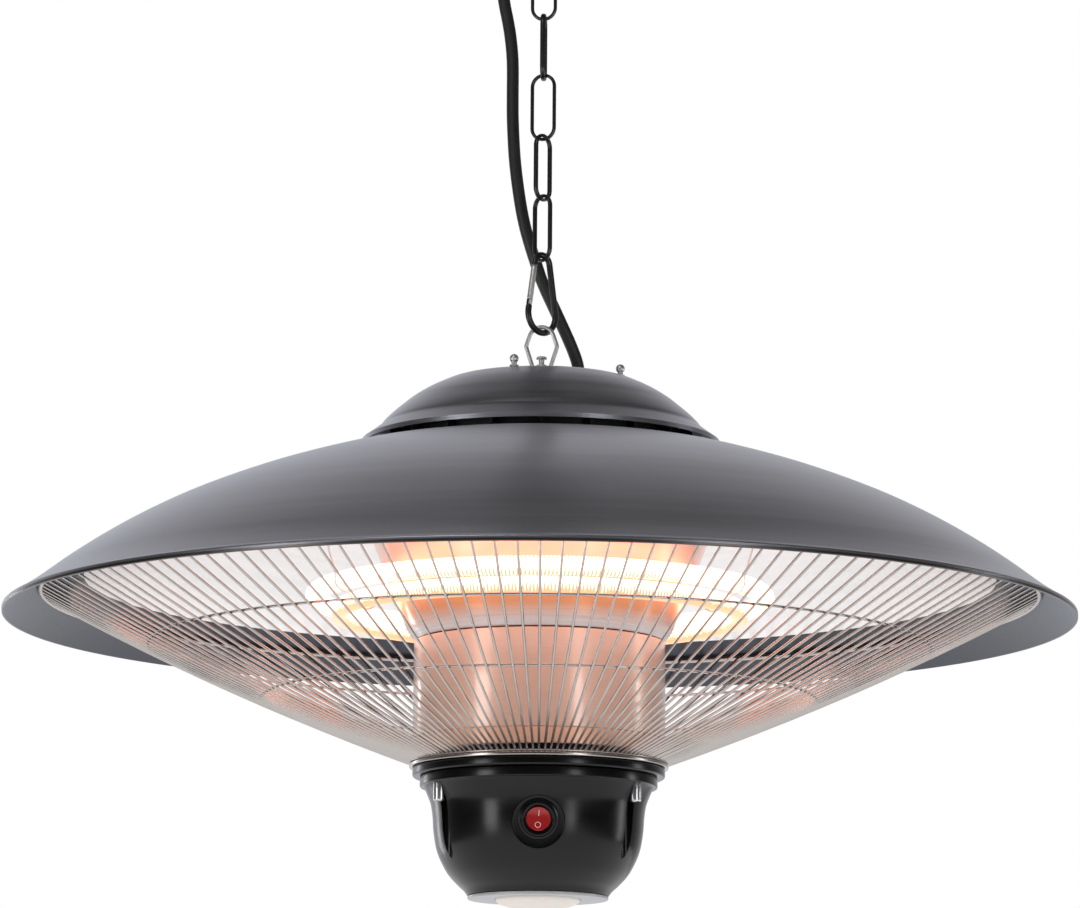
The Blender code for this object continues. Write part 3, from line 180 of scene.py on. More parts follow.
class HeaterColours(bpy.types.PropertyGroup):
    """Colours that a user would change."""

    shade: colour("Shade", "Anodised sheet of the shade and cap", "#aeb2bb")
    polished: colour("Polished", "Reflector", "#f7f6f8")
    # The column's and band's peach is a painted reflection of the tubes' glow over grey aluminium.
    pressed: colour("Cone", "Pressed cone of the column", "#d2cdcf")
    turned: colour("Column", "Turned tube of the column", "#ffd9c8")
    band: colour("Band", "Lower band of the column", "#ffd2b8")
    lining: colour("Lining", "Dark satin enamel inside the shade", "#1e212a")
    # Grey chrome with a painted warm cast standing for the tubes' glow.
    wire: colour("Guard", "Chromed guard wire", "#b2aca9")
    coated: colour("Chain", "Black coated chain and hook", "#131416")
    plated: colour("Plated", "Nickel-plated small parts", "#e6e5e3")
    chrome: colour("Chrome", "Chromed barrel screws", "#dadade")
    housing: colour("Housing", "Gloss black housing", "#09090b")
    trim: colour("Trim", "Matte black plastic trim", "#151517")
    cord: colour("Lead", "Rubber sheath of the lead", "#161819")
    rocker: colour("Rocker", "Red rocker of the switch", "#9e1317")
    mark: colour("Marks", "On and off marks on the rocker", "#f0c8c4")
    coil: colour("Coil", "Light of the coil in a heating tube", "#ffb098")
    coil_gap: colour("Coil gaps", "Light between the turns of the coil", "#ff8c50")
    quartz: colour("Quartz", "Light of the tube where no coil is behind it", "#7c583f")
    # Painted reflection of the tubes' glow on the cone, not a colour the metal has.
    painted_glow: colour("Painted glow", "Straw colour of the cone near the tubes", "#d89468")
    painted_glow_top: colour("Cone top", "Paler straw colour of the cone behind the tubes", "#e2b6a6")
    # Painted shade for the darkened edge of the shade's lip.
    lip: colour("Lip", "Dark edge of the shade", "#55504f")
    ceramic: colour("Sockets", "Ceramic sockets of the tubes", "#e9e4d8")
    end_ring: colour("End ring", "Light grey ring round the lens", "#adaeb1")
    lens: colour("Lens", "Frosted lens", "#fff3ec")
    floor: colour("Floor", "Pale floor", "#f2f2f0")


class StageSettings(bpy.types.PropertyGroup):
    """Light and camera settings."""

    fill: number("Fill", "Brightness of the room for matt surfaces", 0.75)
    front: number("Front", "Brightness of the studio's front as metal mirrors it", 0.06)
    key_power: number("Key", "Power of the high front lamp", 14.0, "POWER")
    strip_power: number(
        "Strips", "Power of the side strip lamps for each square metre", 17.0, "POWER"
    )
    lens_mm: number("Lens", "Focal length on a 36 mm sensor", 178.75)
    distance: number("Distance", "Camera's distance from the heater", 3.0, "LENGTH")
    glow_strength: number("Glow", "Strength of the tubes' light", 6.6)


# Outlines and meshes.


def smooth(points, steps):
    """A Catmull-Rom curve through points, with steps spans between each two."""
    vectors = [Vector(point) for point in points]
    ends = [2 * vectors[0] - vectors[1], *vectors, 2 * vectors[-1] - vectors[-2]]
    curve = []
    for a, b, c, d in zip(ends, ends[1:], ends[2:], ends[3:]):
        for i in range(steps):
            t = i / steps
            curve.append(
                (2 * b + (c - a) * t + (2 * a - 5 * b + 4 * c - d) * t**2
                 + (3 * b - 3 * c + d - a) * t**3) / 2
            )
    return [tuple(point) for point in curve] + [tuple(vectors[-1])]


def offset(points, distance):
    """An open outline moved sideways: a positive distance goes to its left."""
    moved = []
    for i, (r, z) in enumerate(points):
        before = points[max(i - 1, 0)]
        after = points[min(i + 1, len(points) - 1)]
        along = Vector((after[0] - before[0], after[1] - before[1])).normalized()
        moved.append((r - along.y * distance, z + along.x * distance))
    return moved


def arc(centre, radius, start_deg, end_deg, steps):
    """Points of an arc in a plane, from one angle to another."""
    points = []
    for i in range(steps + 1):
        turn = math.radians(start_deg + (end_deg - start_deg) * i / steps)
        points.append((centre[0] + radius * math.cos(turn), centre[1] + radius * math.sin(turn)))
    return points


def rounded(corners, steps=4):
    """A closed outline whose corners with a third value, a radius, are rounded."""
    outline = []
    for i, corner in enumerate(corners):
        here = Vector(corner[:2])
        if len(corner) == 2:
            outline.append(tuple(here))
            continue
        before = Vector(corners[i - 1][:2]) - here
        after = Vector(corners[(i + 1) % len(corners)][:2]) - here
        half = before.angle(after) / 2
        if half > math.radians(89):
            outline.append(tuple(here))
            continue
        reach = min(corner[2] / math.tan(half), before.length * 0.49, after.length * 0.49)
        before.normalize()
        after.normalize()
        centre = here + (before + after).normalized() * reach / math.cos(half)
        start = here + before * reach - centre
        end = here + after * reach - centre
        turn = start.angle(end)
        for k in range(steps + 1):
            t = k / steps
            spoke = (start * math.sin((1 - t) * turn) + end * math.sin(t * turn)) / math.sin(turn)
            outline.append(tuple(centre + spoke))
    return outline


def height_at(points, radius):
    """Height of a (radius, height) line at a radius."""
    ordered = sorted(points)
    for (r0, z0), (r1, z1) in zip(ordered, ordered[1:]):
        if r0 <= radius <= r1 and r1 > r0:
            return z0 + (z1 - z0) * (radius - r0) / (r1 - r0)
    return ordered[-1][1]


def shares_to_outline(shares, radius, low, high):
    """An outline from shares of a radius and of a height between two."""
    return [(r * radius, low + z * (high - low)) for r, z in shares]


def spun(outline, steps=96, closed=True):
    """An outline of (radius, height) spun once round the Z axis, its poles and seam merged."""
    bm = bmesh.new()
    verts = [bm.verts.new((r, 0, z)) for r, z in outline]
    edges = [bm.edges.new(pair) for pair in zip(verts, verts[1:])]
    if closed:
        edges.append(bm.edges.new((verts[-1], verts[0])))
    bmesh.ops.spin(
        bm, geom=verts + edges, cent=(0, 0, 0), axis=(0, 0, 1), dvec=(0, 0, 0),
        angle=math.tau, steps=steps, use_merge=True, use_normal_flip=False, use_duplicate=False,
    )
    bmesh.ops.remove_doubles(bm, verts=bm.verts, dist=1e-6)
    bmesh.ops.recalc_face_normals(bm, faces=bm.faces)
    return bm


def cylinder(radius, low, high, steps):
    """A plain cylinder up the Z axis, for cutting holes."""
    return spun([(0, low), (radius, low), (radius, high), (0, high)], steps, False)


def fanned(bm, count):
    """A mesh repeated round the Z axis."""
    bmesh.ops.spin(
        bm, geom=bm.verts[:] + bm.edges[:] + bm.faces[:], cent=(0, 0, 0), axis=(0, 0, 1),
        dvec=(0, 0, 0), angle=math.tau * (count - 1) / count, steps=count - 1,
        use_merge=False, use_normal_flip=False, use_duplicate=True,
    )
    return bm


def from_curve(points, radius, sides, closed=False):
    """A round wire along points, as a bmesh."""
    curve = bpy.data.curves.new("route", "CURVE")
    curve.dimensions = "3D"
    curve.bevel_depth = radius
    curve.bevel_resolution = max((sides - 4) // 2, 0)
    curve.use_fill_caps = not closed
    spline = curve.splines.new("POLY")
    spline.points.add(len(points) - 1)
    spline.use_cyclic_u = closed
    for slot, point in zip(spline.points, points):
        slot.co = (*point, 1.0)
    holder = bpy.data.objects.new("route", curve)
    bpy.context.scene.collection.objects.link(holder)
    bpy.context.view_layer.update()
    graph = bpy.context.evaluated_depsgraph_get()
    mesh = bpy.data.meshes.new_from_object(holder.evaluated_get(graph))
    bm = bmesh.new()
    bm.from_mesh(mesh)
    bpy.data.objects.remove(holder, do_unlink=True)
    bpy.data.curves.remove(curve)
    bpy.data.meshes.remove(mesh)
    bmesh.ops.remove_doubles(bm, verts=bm.verts, dist=1e-6)
    bmesh.ops.recalc_face_normals(bm, faces=bm.faces)
    return bm


def upright(points):
    """Points of an (x, z) path, stood up in the XZ plane."""
    return [(x, 0.0, z) for x, z in points]


def put(bm, at=(0, 0, 0), yaw_deg=0.0, tilt=None):
    """A mesh turned, then moved to its place. A tilt is an angle in degrees and an axis name."""
    if tilt:
        lean = Matrix.Rotation(math.radians(tilt[0]), 3, tilt[1])
        bmesh.ops.rotate(bm, verts=bm.verts, cent=(0, 0, 0), matrix=lean)
    turn = Matrix.Rotation(math.radians(yaw_deg), 3, "Z")
    bmesh.ops.rotate(bm, verts=bm.verts, cent=(0, 0, 0), matrix=turn)
    bmesh.ops.translate(bm, verts=bm.verts, vec=at)
    return bm


def joined(*parts):
    """Several meshes in one."""
    whole = bmesh.new()
    for part in parts:
        mesh = bpy.data.meshes.new("part")
        part.to_mesh(mesh)
        part.free()
        whole.from_mesh(mesh)
        bpy.data.meshes.remove(mesh)
    return whole


def block(size, centre, bevel=0.0, segments=3):
    """A box with its edges bevelled."""
    bm = bmesh.new()
    bmesh.ops.create_cube(bm, size=1.0)
    bmesh.ops.scale(bm, vec=size, verts=bm.verts)
    if bevel:
        bmesh.ops.bevel(
            bm, geom=bm.edges[:], offset=bevel, affect="EDGES", segments=segments, profile=0.5,
            material=-1, clamp_overlap=True, offset_type="OFFSET",
        )
    bmesh.ops.translate(bm, vec=centre, verts=bm.verts)
    return bm


def prism(outline, low, high):
    """A closed (x, y) outline extruded upwards."""
    bm = bmesh.new()
    face = bm.faces.new([bm.verts.new((x, y, low)) for x, y in outline])
    made = bmesh.ops.extrude_face_region(bm, geom=[face])
    lid = [item for item in made["geom"] if isinstance(item, bmesh.types.BMVert)]
    bmesh.ops.translate(bm, verts=lid, vec=(0, 0, high - low))
    bmesh.ops.recalc_face_normals(bm, faces=bm.faces)
    return bm


# The slot of each finish, where a piece names no other.
SLOTS = {
    "sheet": "brushed_grey", "lining": "brushed_grey", "reflector": "polished",
    "column": "polished", "cone": "polished", "band": "polished", "wire": "chromed_wire",
    "chrome": "chromed_wire", "plated": "zinc_steel", "coated": "black_steel",
    "gloss": "black_gloss", "trim": "black_plastic", "cord": "cord_sheath",
    "rocker": "red_plastic", "mark": "red_plastic", "ceramic": "white_ceramic",
    "end_ring": "light_grey_plastic", "lens": "frosted_lens",
    "glow_upper": "glowing_tube", "glow_lower": "glowing_tube",
}


def piece(name, bm, finish_name, body, nodes=(), sharp_deg=32, slot=None):
    """A finished piece: shaded, dressed, riding on its body and standing for its CAD nodes."""
    slot = slot or SLOTS.get(finish_name)
    mesh = bpy.data.meshes.new(name)
    bm.to_mesh(mesh)
    bm.free()
    mesh.shade_smooth()
    mesh.set_sharp_from_angle(angle=math.radians(sharp_deg))
    obj = bpy.data.objects.new(name, mesh)
    mesh.materials.append(FINISHES[finish_name])
    bpy.context.scene.collection.objects.link(obj)
    if body:
        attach(obj, body)
    if nodes:
        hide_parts(*nodes)
    return obj


def carve(obj, tools, sharp_deg, operation="DIFFERENCE"):
    """Cuts tool meshes out of a piece, or joins them, for good, and marks its sharp edges anew."""
    for tool in tools:
        mesh = bpy.data.meshes.new("tool")
        tool.to_mesh(mesh)
        tool.free()
        helper = bpy.data.objects.new("tool", mesh)
        bpy.context.scene.collection.objects.link(helper)
        boolean = obj.modifiers.new("Carve", "BOOLEAN")
        boolean.operation = operation
        boolean.solver = "EXACT"
        boolean.object = helper
        bpy.context.view_layer.update()
        graph = bpy.context.evaluated_depsgraph_get()
        carved = bpy.data.meshes.new_from_object(obj.evaluated_get(graph))
        obj.modifiers.remove(boolean)
        old = obj.data
        obj.data = carved
        carved.name = obj.name
        bpy.data.meshes.remove(old)
        bpy.data.objects.remove(helper, do_unlink=True)
        bpy.data.meshes.remove(mesh)
    obj.data.set_sharp_from_angle(angle=math.radians(sharp_deg))


# Finishes, each made once under a short name.

FINISHES = {}


def add(tree, kind, values=None, links=None, **settings):
    """Adds a shader node with its settings, input values and links."""
    made = tree.nodes.new("ShaderNode" + kind)
    for name, value in settings.items():
        setattr(made, name, value)
    for key, value in (values or {}).items():
        made.inputs[key].default_value = value
    for key, source in (links or {}).items():
        tree.links.new(source, made.inputs[key])
    return made


def any_ray(tree, *kinds):
    """1 for a ray of one of these kinds, or else 0."""
    path = add(tree, "LightPath")
    found = path.outputs[kinds[0]]
    for kind in kinds[1:]:
        both = {0: found, 1: path.outputs[kind]}
        found = add(tree, "Math", links=both, operation="MAXIMUM").outputs[0]
    return found


def finish(name, base, roughness, metallic=0.0, **sockets):
    """A new material with the shader's own constant sockets set. Gives it, its tree and shader."""
    made = bpy.data.materials.new(name)
    made.use_nodes = True
    tree = made.node_tree
    shader = tree.nodes["Principled BSDF"]
    shader.inputs["Base Color"].default_value = tuple(base)
    shader.inputs["Roughness"].default_value = roughness
    shader.inputs["Metallic"].default_value = metallic
    for socket, value in sockets.items():
        shader.inputs[socket.replace("_", " ")].default_value = value
    return made, tree, shader


def shade_colour(tree, shader, base, amount, factor):
    """Lightens and darkens the base colour with a pattern by an amount."""
    dark = tuple(c * (1 - amount) for c in base[:3]) + (1.0,)
    light = tuple(min(c * (1 + amount), 1.0) for c in base[:3]) + (1.0,)
    mixed = add(
        tree, "Mix", {6: dark, 7: light}, {0: factor}, data_type="RGBA", clamp_factor=True
    )
    tree.links.new(mixed.outputs[2], shader.inputs["Base Color"])


def rough_range(tree, shader, low, high, factor):
    """Roughness that follows a pattern from low to high."""
    spread = add(tree, "MapRange", {3: low, 4: high}, {0: factor})
    tree.links.new(spread.outputs[0], shader.inputs["Roughness"])


def toned(tree, shader, hue, low, high):
    """Turns the base colour into another one between two heights of the object."""
    plain = shader.inputs["Base Color"].links[0].from_socket
    place = add(tree, "TexCoord").outputs["Object"]
    split = add(tree, "SeparateXYZ", links={0: place})
    share = add(tree, "MapRange", {1: low, 2: high}, {0: split.outputs[2]})
    mixed = add(tree, "Mix", {7: tuple(hue)}, {0: share.outputs[0], 6: plain}, data_type="RGBA")
    tree.links.new(mixed.outputs[2], shader.inputs["Base Color"])


def relief(tree, shader, height, strength, depth):
    """Bump from a pattern, of a depth in metres."""
    bump = add(tree, "Bump", {"Strength": strength, "Distance": depth}, {"Height": height})
    tree.links.new(bump.outputs[0], shader.inputs["Normal"])


def grained(tree, shader, base, per_metre, detail, amount, rough=None, bump=None):
    """A noise with so many grains to a metre in the colour and, where they are given, in the
    roughness, from low to high, and in the relief, by strength and depth."""
    place = add(tree, "TexCoord").outputs["Object"]
    noise = add(tree, "TexNoise", {"Scale": per_metre, "Detail": detail}, {"Vector": place})
    shade_colour(tree, shader, base, amount, noise.outputs[0])
    if rough:
        rough_range(tree, shader, *rough, noise.outputs[0])
    if bump:
        relief(tree, shader, noise.outputs[0], *bump)


def round_axis_pattern(tree, along, across_mm):
    """Coordinates that run slowly round the Z axis and fast across it, for turned metal."""
    place = add(tree, "TexCoord").outputs["Object"]
    split = add(tree, "SeparateXYZ", links={0: place})
    flat = add(tree, "VectorMath", {1: (1, 1, 0)}, {0: place}, operation="MULTIPLY")
    unit = add(tree, "VectorMath", links={0: flat.outputs[0]}, operation="NORMALIZE")
    pace = (along, along, 0)
    slow = add(tree, "VectorMath", {1: pace}, {0: unit.outputs[0]}, operation="MULTIPLY")
    radius = add(tree, "VectorMath", links={0: flat.outputs[0]}, operation="LENGTH")
    height = add(tree, "Math", {1: 1.7}, {0: split.outputs[2]}, operation="MULTIPLY")
    reach = add(
        tree, "Math", links={0: radius.outputs["Value"], 1: height.outputs[0]}, operation="ADD"
    )
    fast = add(tree, "Math", {1: 1000 / across_mm}, {0: reach.outputs[0]}, operation="MULTIPLY")
    lift = add(tree, "CombineXYZ", links={2: fast.outputs[0]})
    return add(
        tree, "VectorMath", links={0: slow.outputs[0], 1: lift.outputs[0]}, operation="ADD"
    ).outputs[0]


def spun_grain(tree, shader):
    """Turning marks run round the Z axis, so highlights are drawn out across them."""
    tangent = add(tree, "Tangent", direction_type="RADIAL", axis="Z")
    tree.links.new(tangent.outputs[0], shader.inputs["Tangent"])


def anodised_sheet(colours):
    """Spun and brushed aluminium, anodised dark grey: fine rings round the axis, satin."""
    made, tree, shader = finish(
        "anodised_brushed_aluminium", colours.shade, 0.30, 1.0, Anisotropic=0.2,
        Anisotropic_Rotation=0.25,
    )
    spun_grain(tree, shader)
    rings = round_axis_pattern(tree, 1.6, 1.5)
    fine = add(tree, "TexNoise", {"Scale": 1.0, "Detail": 4.0, "Roughness": 0.6}, {"Vector": rings})
    broad = add(
        tree, "TexNoise", {"Scale": 9.0, "Detail": 2.0},
        {"Vector": add(tree, "TexCoord").outputs["Object"]},
    )
    both = add(
        tree, "Mix", {0: 0.25}, {2: fine.outputs[0], 3: broad.outputs[0]}, data_type="FLOAT"
    )
    shade_colour(tree, shader, colours.shade, 0.30, both.outputs[0])
    # Painted shade: the lip's edge is darkened, which dims the highlight its hem would show.
    toned(tree, shader, colours.lip, RIM_Z + 0.0022, RIM_Z + 0.0012)
    rough_range(tree, shader, 0.26, 0.36, both.outputs[0])
    relief(tree, shader, fine.outputs[0], 0.15, 0.0002)
    return made


def satin_enamel(colours):
    """Dark enamel inside the shade: satin, near black straight on and grey at a glance."""
    made, tree, shader = finish(
        "dark_satin_enamel", colours.lining, 0.36, IOR=1.5, Specular_IOR_Level=0.8,
        Specular_Tint=linear("#e4ecff"), Sheen_Weight=0.3, Sheen_Roughness=0.3,
        Sheen_Tint=linear("#cfdaf2"),
    )
    # The coat's peel is some 2.4 mm wide.
    grained(tree, shader, colours.lining, 420.0, 2.0, 0.18, (0.32, 0.44), (0.06, 0.0001))
    return made


def polished_sheet(name, base, roughness, stretch, lacquer=0.0, marks=0.08):
    """Spun aluminium, polished round its axis: bright, with soft reflections drawn out along it,
    and crisp ones on top where it is lacquered."""
    made, tree, shader = finish(
        name, base, roughness, 1.0, Anisotropic=stretch, Anisotropic_Rotation=0.25,
        Coat_Weight=lacquer, Coat_Roughness=0.12, Coat_IOR=1.6,
    )
    spun_grain(tree, shader)
    rings = round_axis_pattern(tree, 1.2, 1.6)
    fine = add(tree, "TexNoise", {"Scale": 1.0, "Detail": 3.0}, {"Vector": rings})
    shade_colour(tree, shader, base, marks, fine.outputs[0])
    rough_range(tree, shader, roughness * 0.85, roughness * 1.15, fine.outputs[0])
    relief(tree, shader, fine.outputs[0], 0.10, 0.00015)
    return made


def plated_metal(name, base, roughness):
    """Bright plating over steel wire: glossy, with faint drawing marks."""
    made, tree, shader = finish(name, base, roughness, 1.0)
    # Marks of some 0.4 mm.
    grained(tree, shader, base, 2600.0, 1.0, 0.05, (roughness * 0.9, roughness * 1.15))
    return made


def powder_coat(colours):
    """Black powder-coated steel: satin, with the coat's soft orange peel."""
    made, tree, shader = finish("black_coated_steel", colours.coated, 0.32, Coat_Weight=0.2)
    place = add(tree, "TexCoord").outputs["Object"]
    peel = add(tree, "TexNoise", {"Scale": 1400.0, "Detail": 2.0}, {"Vector": place})
    wear = add(tree, "TexNoise", {"Scale": 160.0, "Detail": 3.0}, {"Vector": place})
    shade_colour(tree, shader, colours.coated, 0.35, wear.outputs[0])
    rough_range(tree, shader, 0.26, 0.42, wear.outputs[0])
    relief(tree, shader, peel.outputs[0], 0.25, 0.00006)
    return made


def gloss_plastic(name, base, roughness, level=0.5):
    """Moulded ABS with a polished tool's gloss: clear reflections over a faint flow texture."""
    made, tree, shader = finish(name, base, roughness, IOR=1.53, Specular_IOR_Level=level)
    # The melt's flow shows in swells of some 17 mm.
    spread = (roughness * 0.8, roughness * 1.3)
    grained(tree, shader, base, 60.0, 2.0, 0.10, spread, (0.05, 0.0003))
    return made


def grained_plastic(colours):
    """Moulded nylon with a spark-eroded grain: matt black."""
    made, tree, shader = finish("matte_black_nylon", colours.trim, 0.55, IOR=1.53)
    # The mould's grain is some 0.6 mm wide.
    grained(tree, shader, colours.trim, 1800.0, 2.0, 0.20, (0.48, 0.66), (0.3, 0.00008))
    return made


def rubber_sheath(colours):
    """Extruded rubber sheath: dark, satin, with faint lengthwise draw marks and dusting."""
    made, tree, shader = finish("rubber_lead_sheath", colours.cord, 0.46, IOR=1.52)
    place = add(tree, "TexCoord").outputs["Object"]
    drawn = add(tree, "Mapping", {"Scale": (900.0, 900.0, 60.0)}, {"Vector": place})
    marks = add(tree, "TexNoise", {"Scale": 1.0, "Detail": 3.0}, {"Vector": drawn.outputs[0]})
    shade_colour(tree, shader, colours.cord, 0.28, marks.outputs[0])
    rough_range(tree, shader, 0.40, 0.56, marks.outputs[0])
    relief(tree, shader, marks.outputs[0], 0.18, 0.0001)
    return made


def red_rocker(colours):
    """Translucent red polycarbonate: glossy, a little deeper in places."""
    made, tree, shader = finish("red_polycarbonate", colours.rocker, 0.2, IOR=1.58)
    # Clouds of some 4 mm.
    grained(tree, shader, colours.rocker, 240.0, 2.0, 0.15, (0.16, 0.28))
    return made


def rocker_mark(colours):
    """Pad-printed marks: flat pale paint, worn a little thin."""
    made, tree, shader = finish("pad_printed_mark", colours.mark, 0.5)
    # Wear in spots of some 0.7 mm.
    grained(tree, shader, colours.mark, 1500.0, 2.0, 0.12)
    return made


def quartz_tube(name, colours, strength, height, radius, lit_from, lit_to):
    """A quartz tube round a burning coil: cream over the coil, with ticks at its turns, and amber
    where the quartz is bare. The lit share runs from -1, the tube's underside, to 1, its top."""
    made, tree, shader = finish(name, linear("#2e2622"), 0.25)
    place = add(tree, "TexCoord").outputs["Object"]
    split = add(tree, "SeparateXYZ", links={0: place})
    angle = add(
        tree, "Math", links={0: split.outputs[1], 1: split.outputs[0]}, operation="ARCTAN2"
    )
    # The coil's turns show about every 2 mm round a ring of some 120 mm radius.
    turns = add(tree, "Math", {1: 380.0}, {0: angle.outputs[0]}, operation="MULTIPLY")
    wave = add(tree, "Math", links={0: turns.outputs[0]}, operation="SINE")
    drift = add(tree, "TexNoise", {"Scale": 260.0, "Detail": 2.0}, {"Vector": place})
    ticks = add(
        tree, "Math", links={0: wave.outputs[0], 1: drift.outputs[0]}, operation="MULTIPLY"
    )
    # How far a place is above or below the middle of the lit band, in tube radii.
    middle = (lit_from + lit_to) / 2
    rise = add(
        tree, "Math", {1: 1 / radius, 2: -height / radius - middle}, {0: split.outputs[2]},
        operation="MULTIPLY_ADD",
    )
    away = add(tree, "Math", links={0: rise.outputs[0]}, operation="ABSOLUTE")
    edge = add(
        tree, "Math", {1: 0.9}, {0: ticks.outputs[0], 2: away.outputs[0]}, operation="MULTIPLY_ADD"
    )
    half = (lit_to - lit_from) / 2
    fade = {1: half - 0.12, 2: half + 0.12, 3: 1.0, 4: 0.0}
    lit = add(tree, "MapRange", fade, {0: edge.outputs[0]})
    coil = add(
        tree, "Mix", {6: tuple(colours.coil), 7: tuple(colours.coil_gap)}, {0: ticks.outputs[0]},
        data_type="RGBA", clamp_factor=True,
    )
    shown = add(
        tree, "Mix", {6: tuple(colours.quartz)}, {0: lit.outputs[0], 7: coil.outputs[2]},
        data_type="RGBA", clamp_factor=True,
    )
    tree.links.new(shown.outputs[2], shader.inputs["Emission Color"])
    shader.inputs["Emission Strength"].default_value = strength
    return made


def ceramic(colours):
    """Steatite ceramic: off-white, matt, with tiny specks."""
    made, tree, shader = finish("steatite_ceramic", colours.ceramic, 0.6)
    # Specks of some 1.4 mm.
    grained(tree, shader, colours.ceramic, 700.0, 3.0, 0.08, None, (0.2, 0.0001))
    return made


def frosted_lens(colours):
    """Frosted polycarbonate over a lamp that is off: milky, softly grained."""
    made, tree, shader = finish(
        "frosted_polycarbonate", colours.lens, 0.38, Subsurface_Weight=0.25, Subsurface_Scale=0.004
    )
    # The frosting's grain, drawn as coarse as 2 mm so that it shows.
    grained(tree, shader, colours.lens, 500.0, 2.0, 0.03, (0.32, 0.46), (0.1, 0.0001))
    return made


def circuit_board():
    """Green solder mask on glass fibre: satin, with the weave just showing."""
    base = linear("#1f6a3c")
    made, tree, shader = finish("solder_mask_board", base, 0.4)
    place = add(tree, "TexCoord").outputs["Object"]
    weave = add(tree, "TexChecker", {"Scale": 900.0}, {"Vector": place})
    shade_colour(tree, shader, base, 0.08, weave.outputs[1])
    return made


def make_finishes(context):
    """Makes each finish once, under a short name."""
    colours = context.scene.heater_colours
    glow = context.scene.heater_stage.glow_strength
    radius = context.scene.heater_sizes.tube_radius
    glowing = (
        ("glow_upper", "glowing_quartz_upper", UPPER_TUBE_Z, -0.70, 0.95),
        ("glow_lower", "glowing_quartz_lower", LOWER_TUBE_Z, -0.10, 1.2),
    )
    for name, real, height, lit_from, lit_to in glowing:
        FINISHES[name] = quartz_tube(real, colours, glow, height, radius, lit_from, lit_to)
    FINISHES.update(
        sheet=anodised_sheet(colours),
        lining=satin_enamel(colours),
        reflector=polished_sheet("polished_spun_aluminium", colours.polished, 0.38, 0.3),
        # The column's and band's colours hold a painted reflection of the tubes' glow.
        column=polished_sheet("lacquered_turned_aluminium", colours.turned, 0.52, 0.95, 1.0),
        cone=polished_sheet("lacquered_pressed_aluminium", colours.pressed, 0.32, 0.9, 0.6, 0.3),
        band=polished_sheet("lacquered_rolled_aluminium", colours.band, 0.52, 0.95, 0.6),
        wire=plated_metal("chromed_guard_wire", colours.wire, 0.24),
        plated=plated_metal("nickel_plated_steel", colours.plated, 0.42),
        chrome=plated_metal("chrome_plated_steel", colours.chrome, 0.24),
        coated=powder_coat(colours),
        gloss=gloss_plastic("gloss_black_abs", colours.housing, 0.22, 0.28),
        trim=grained_plastic(colours),
        cord=rubber_sheath(colours),
        rocker=red_rocker(colours),
        mark=rocker_mark(colours),
        ceramic=ceramic(colours),
        end_ring=gloss_plastic("light_grey_abs", colours.end_ring, 0.3),
        lens=frosted_lens(colours),
        board=circuit_board(),
    )
    # A painted reflection of the tubes' glow: the cone's colour turns straw by height, because what
    # the cone mirrors of the glow is too faint. Behind the tubes the painted glow is paler.
    pressed = FINISHES["cone"].node_tree
    shader = pressed.nodes["Principled BSDF"]
    toned(pressed, shader, colours.painted_glow, RIM_Z - 0.0095, RIM_Z + 0.001)
    toned(pressed, shader, colours.painted_glow_top, RIM_Z + 0.012, RIM_Z + 0.020)
    # These three are shown as the frame has them.
    for node, name in (("tie_rod", "plated"), ("led_board", "board"), ("tube_strap", "plated")):
        for slot in FRAME["nodes"][node].material_slots:
            slot.material = FINISHES[name]


# Outlines that several pieces share.


def shade_outline():
    """Outside of the shade, from its top plate to its rim."""
    points = shares_to_outline(SHADE_SHARES, RIM_RADIUS, RIM_Z, SHADE_TOP_Z)
    return smooth(points, 5)


def reflector_outline():
    """Top side of the reflector, from its plate to its edge."""
    low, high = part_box("reflector")
    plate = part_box("column_cone")[1][0] + 0.0020
    run, base = high[0] - plate, low[2] + 0.0008
    points = [(plate + r * run, base + z * (high[2] - base)) for r, z in REFLECTOR_SHARES]
    return smooth(points, 6)


def cap_dome():
    """Outside of the cap's dome, from its middle to the brim."""
    return smooth(shares_to_outline(CAP_DOME_SHARES, CAP_RADIUS, CAP_LIP_Z, CAP_TOP_Z), 4)


# The switch is made along +Z from the middle of its recess's floor, and looks out and a little
# down. The rocker turns 1 mm below the bezel's face.
SWITCH_AXIS_RISE = GAP + BEZEL_FACE - 0.0010
SWITCH_TURN = Matrix.Rotation(math.radians(90 + SWITCH_TILT_DEG), 4, "X")
SWITCH_PLACE = (
    Matrix.Translation(PIVOT["rocker_pivot"]) @ SWITCH_TURN
    @ Matrix.Translation((0, 0, -SWITCH_AXIS_RISE))
)


def in_switch(bm):
    """A mesh made at the origin, moved to the switch."""
    bmesh.ops.transform(bm, matrix=SWITCH_PLACE, verts=bm.verts)
    return bm


def guard_curve(steps):
    """Middle line of a guard wire, from the hub out to the rim."""
    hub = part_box("guard_collar")[1][2] + GAP + 0.0010
    start = Vector((GUARD_HUB_RADIUS, hub))
    bend = Vector((0.1840, RIM_Z - 0.0385))
    low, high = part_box("guard_rim")
    end = Vector((high[0] - 0.0027, (low[2] + high[2]) / 2))
    points = []
    for i in range(steps + 1):
        t = i / steps
        points.append(tuple((1 - t) ** 2 * start + 2 * t * (1 - t) * bend + t**2 * end))
    return points


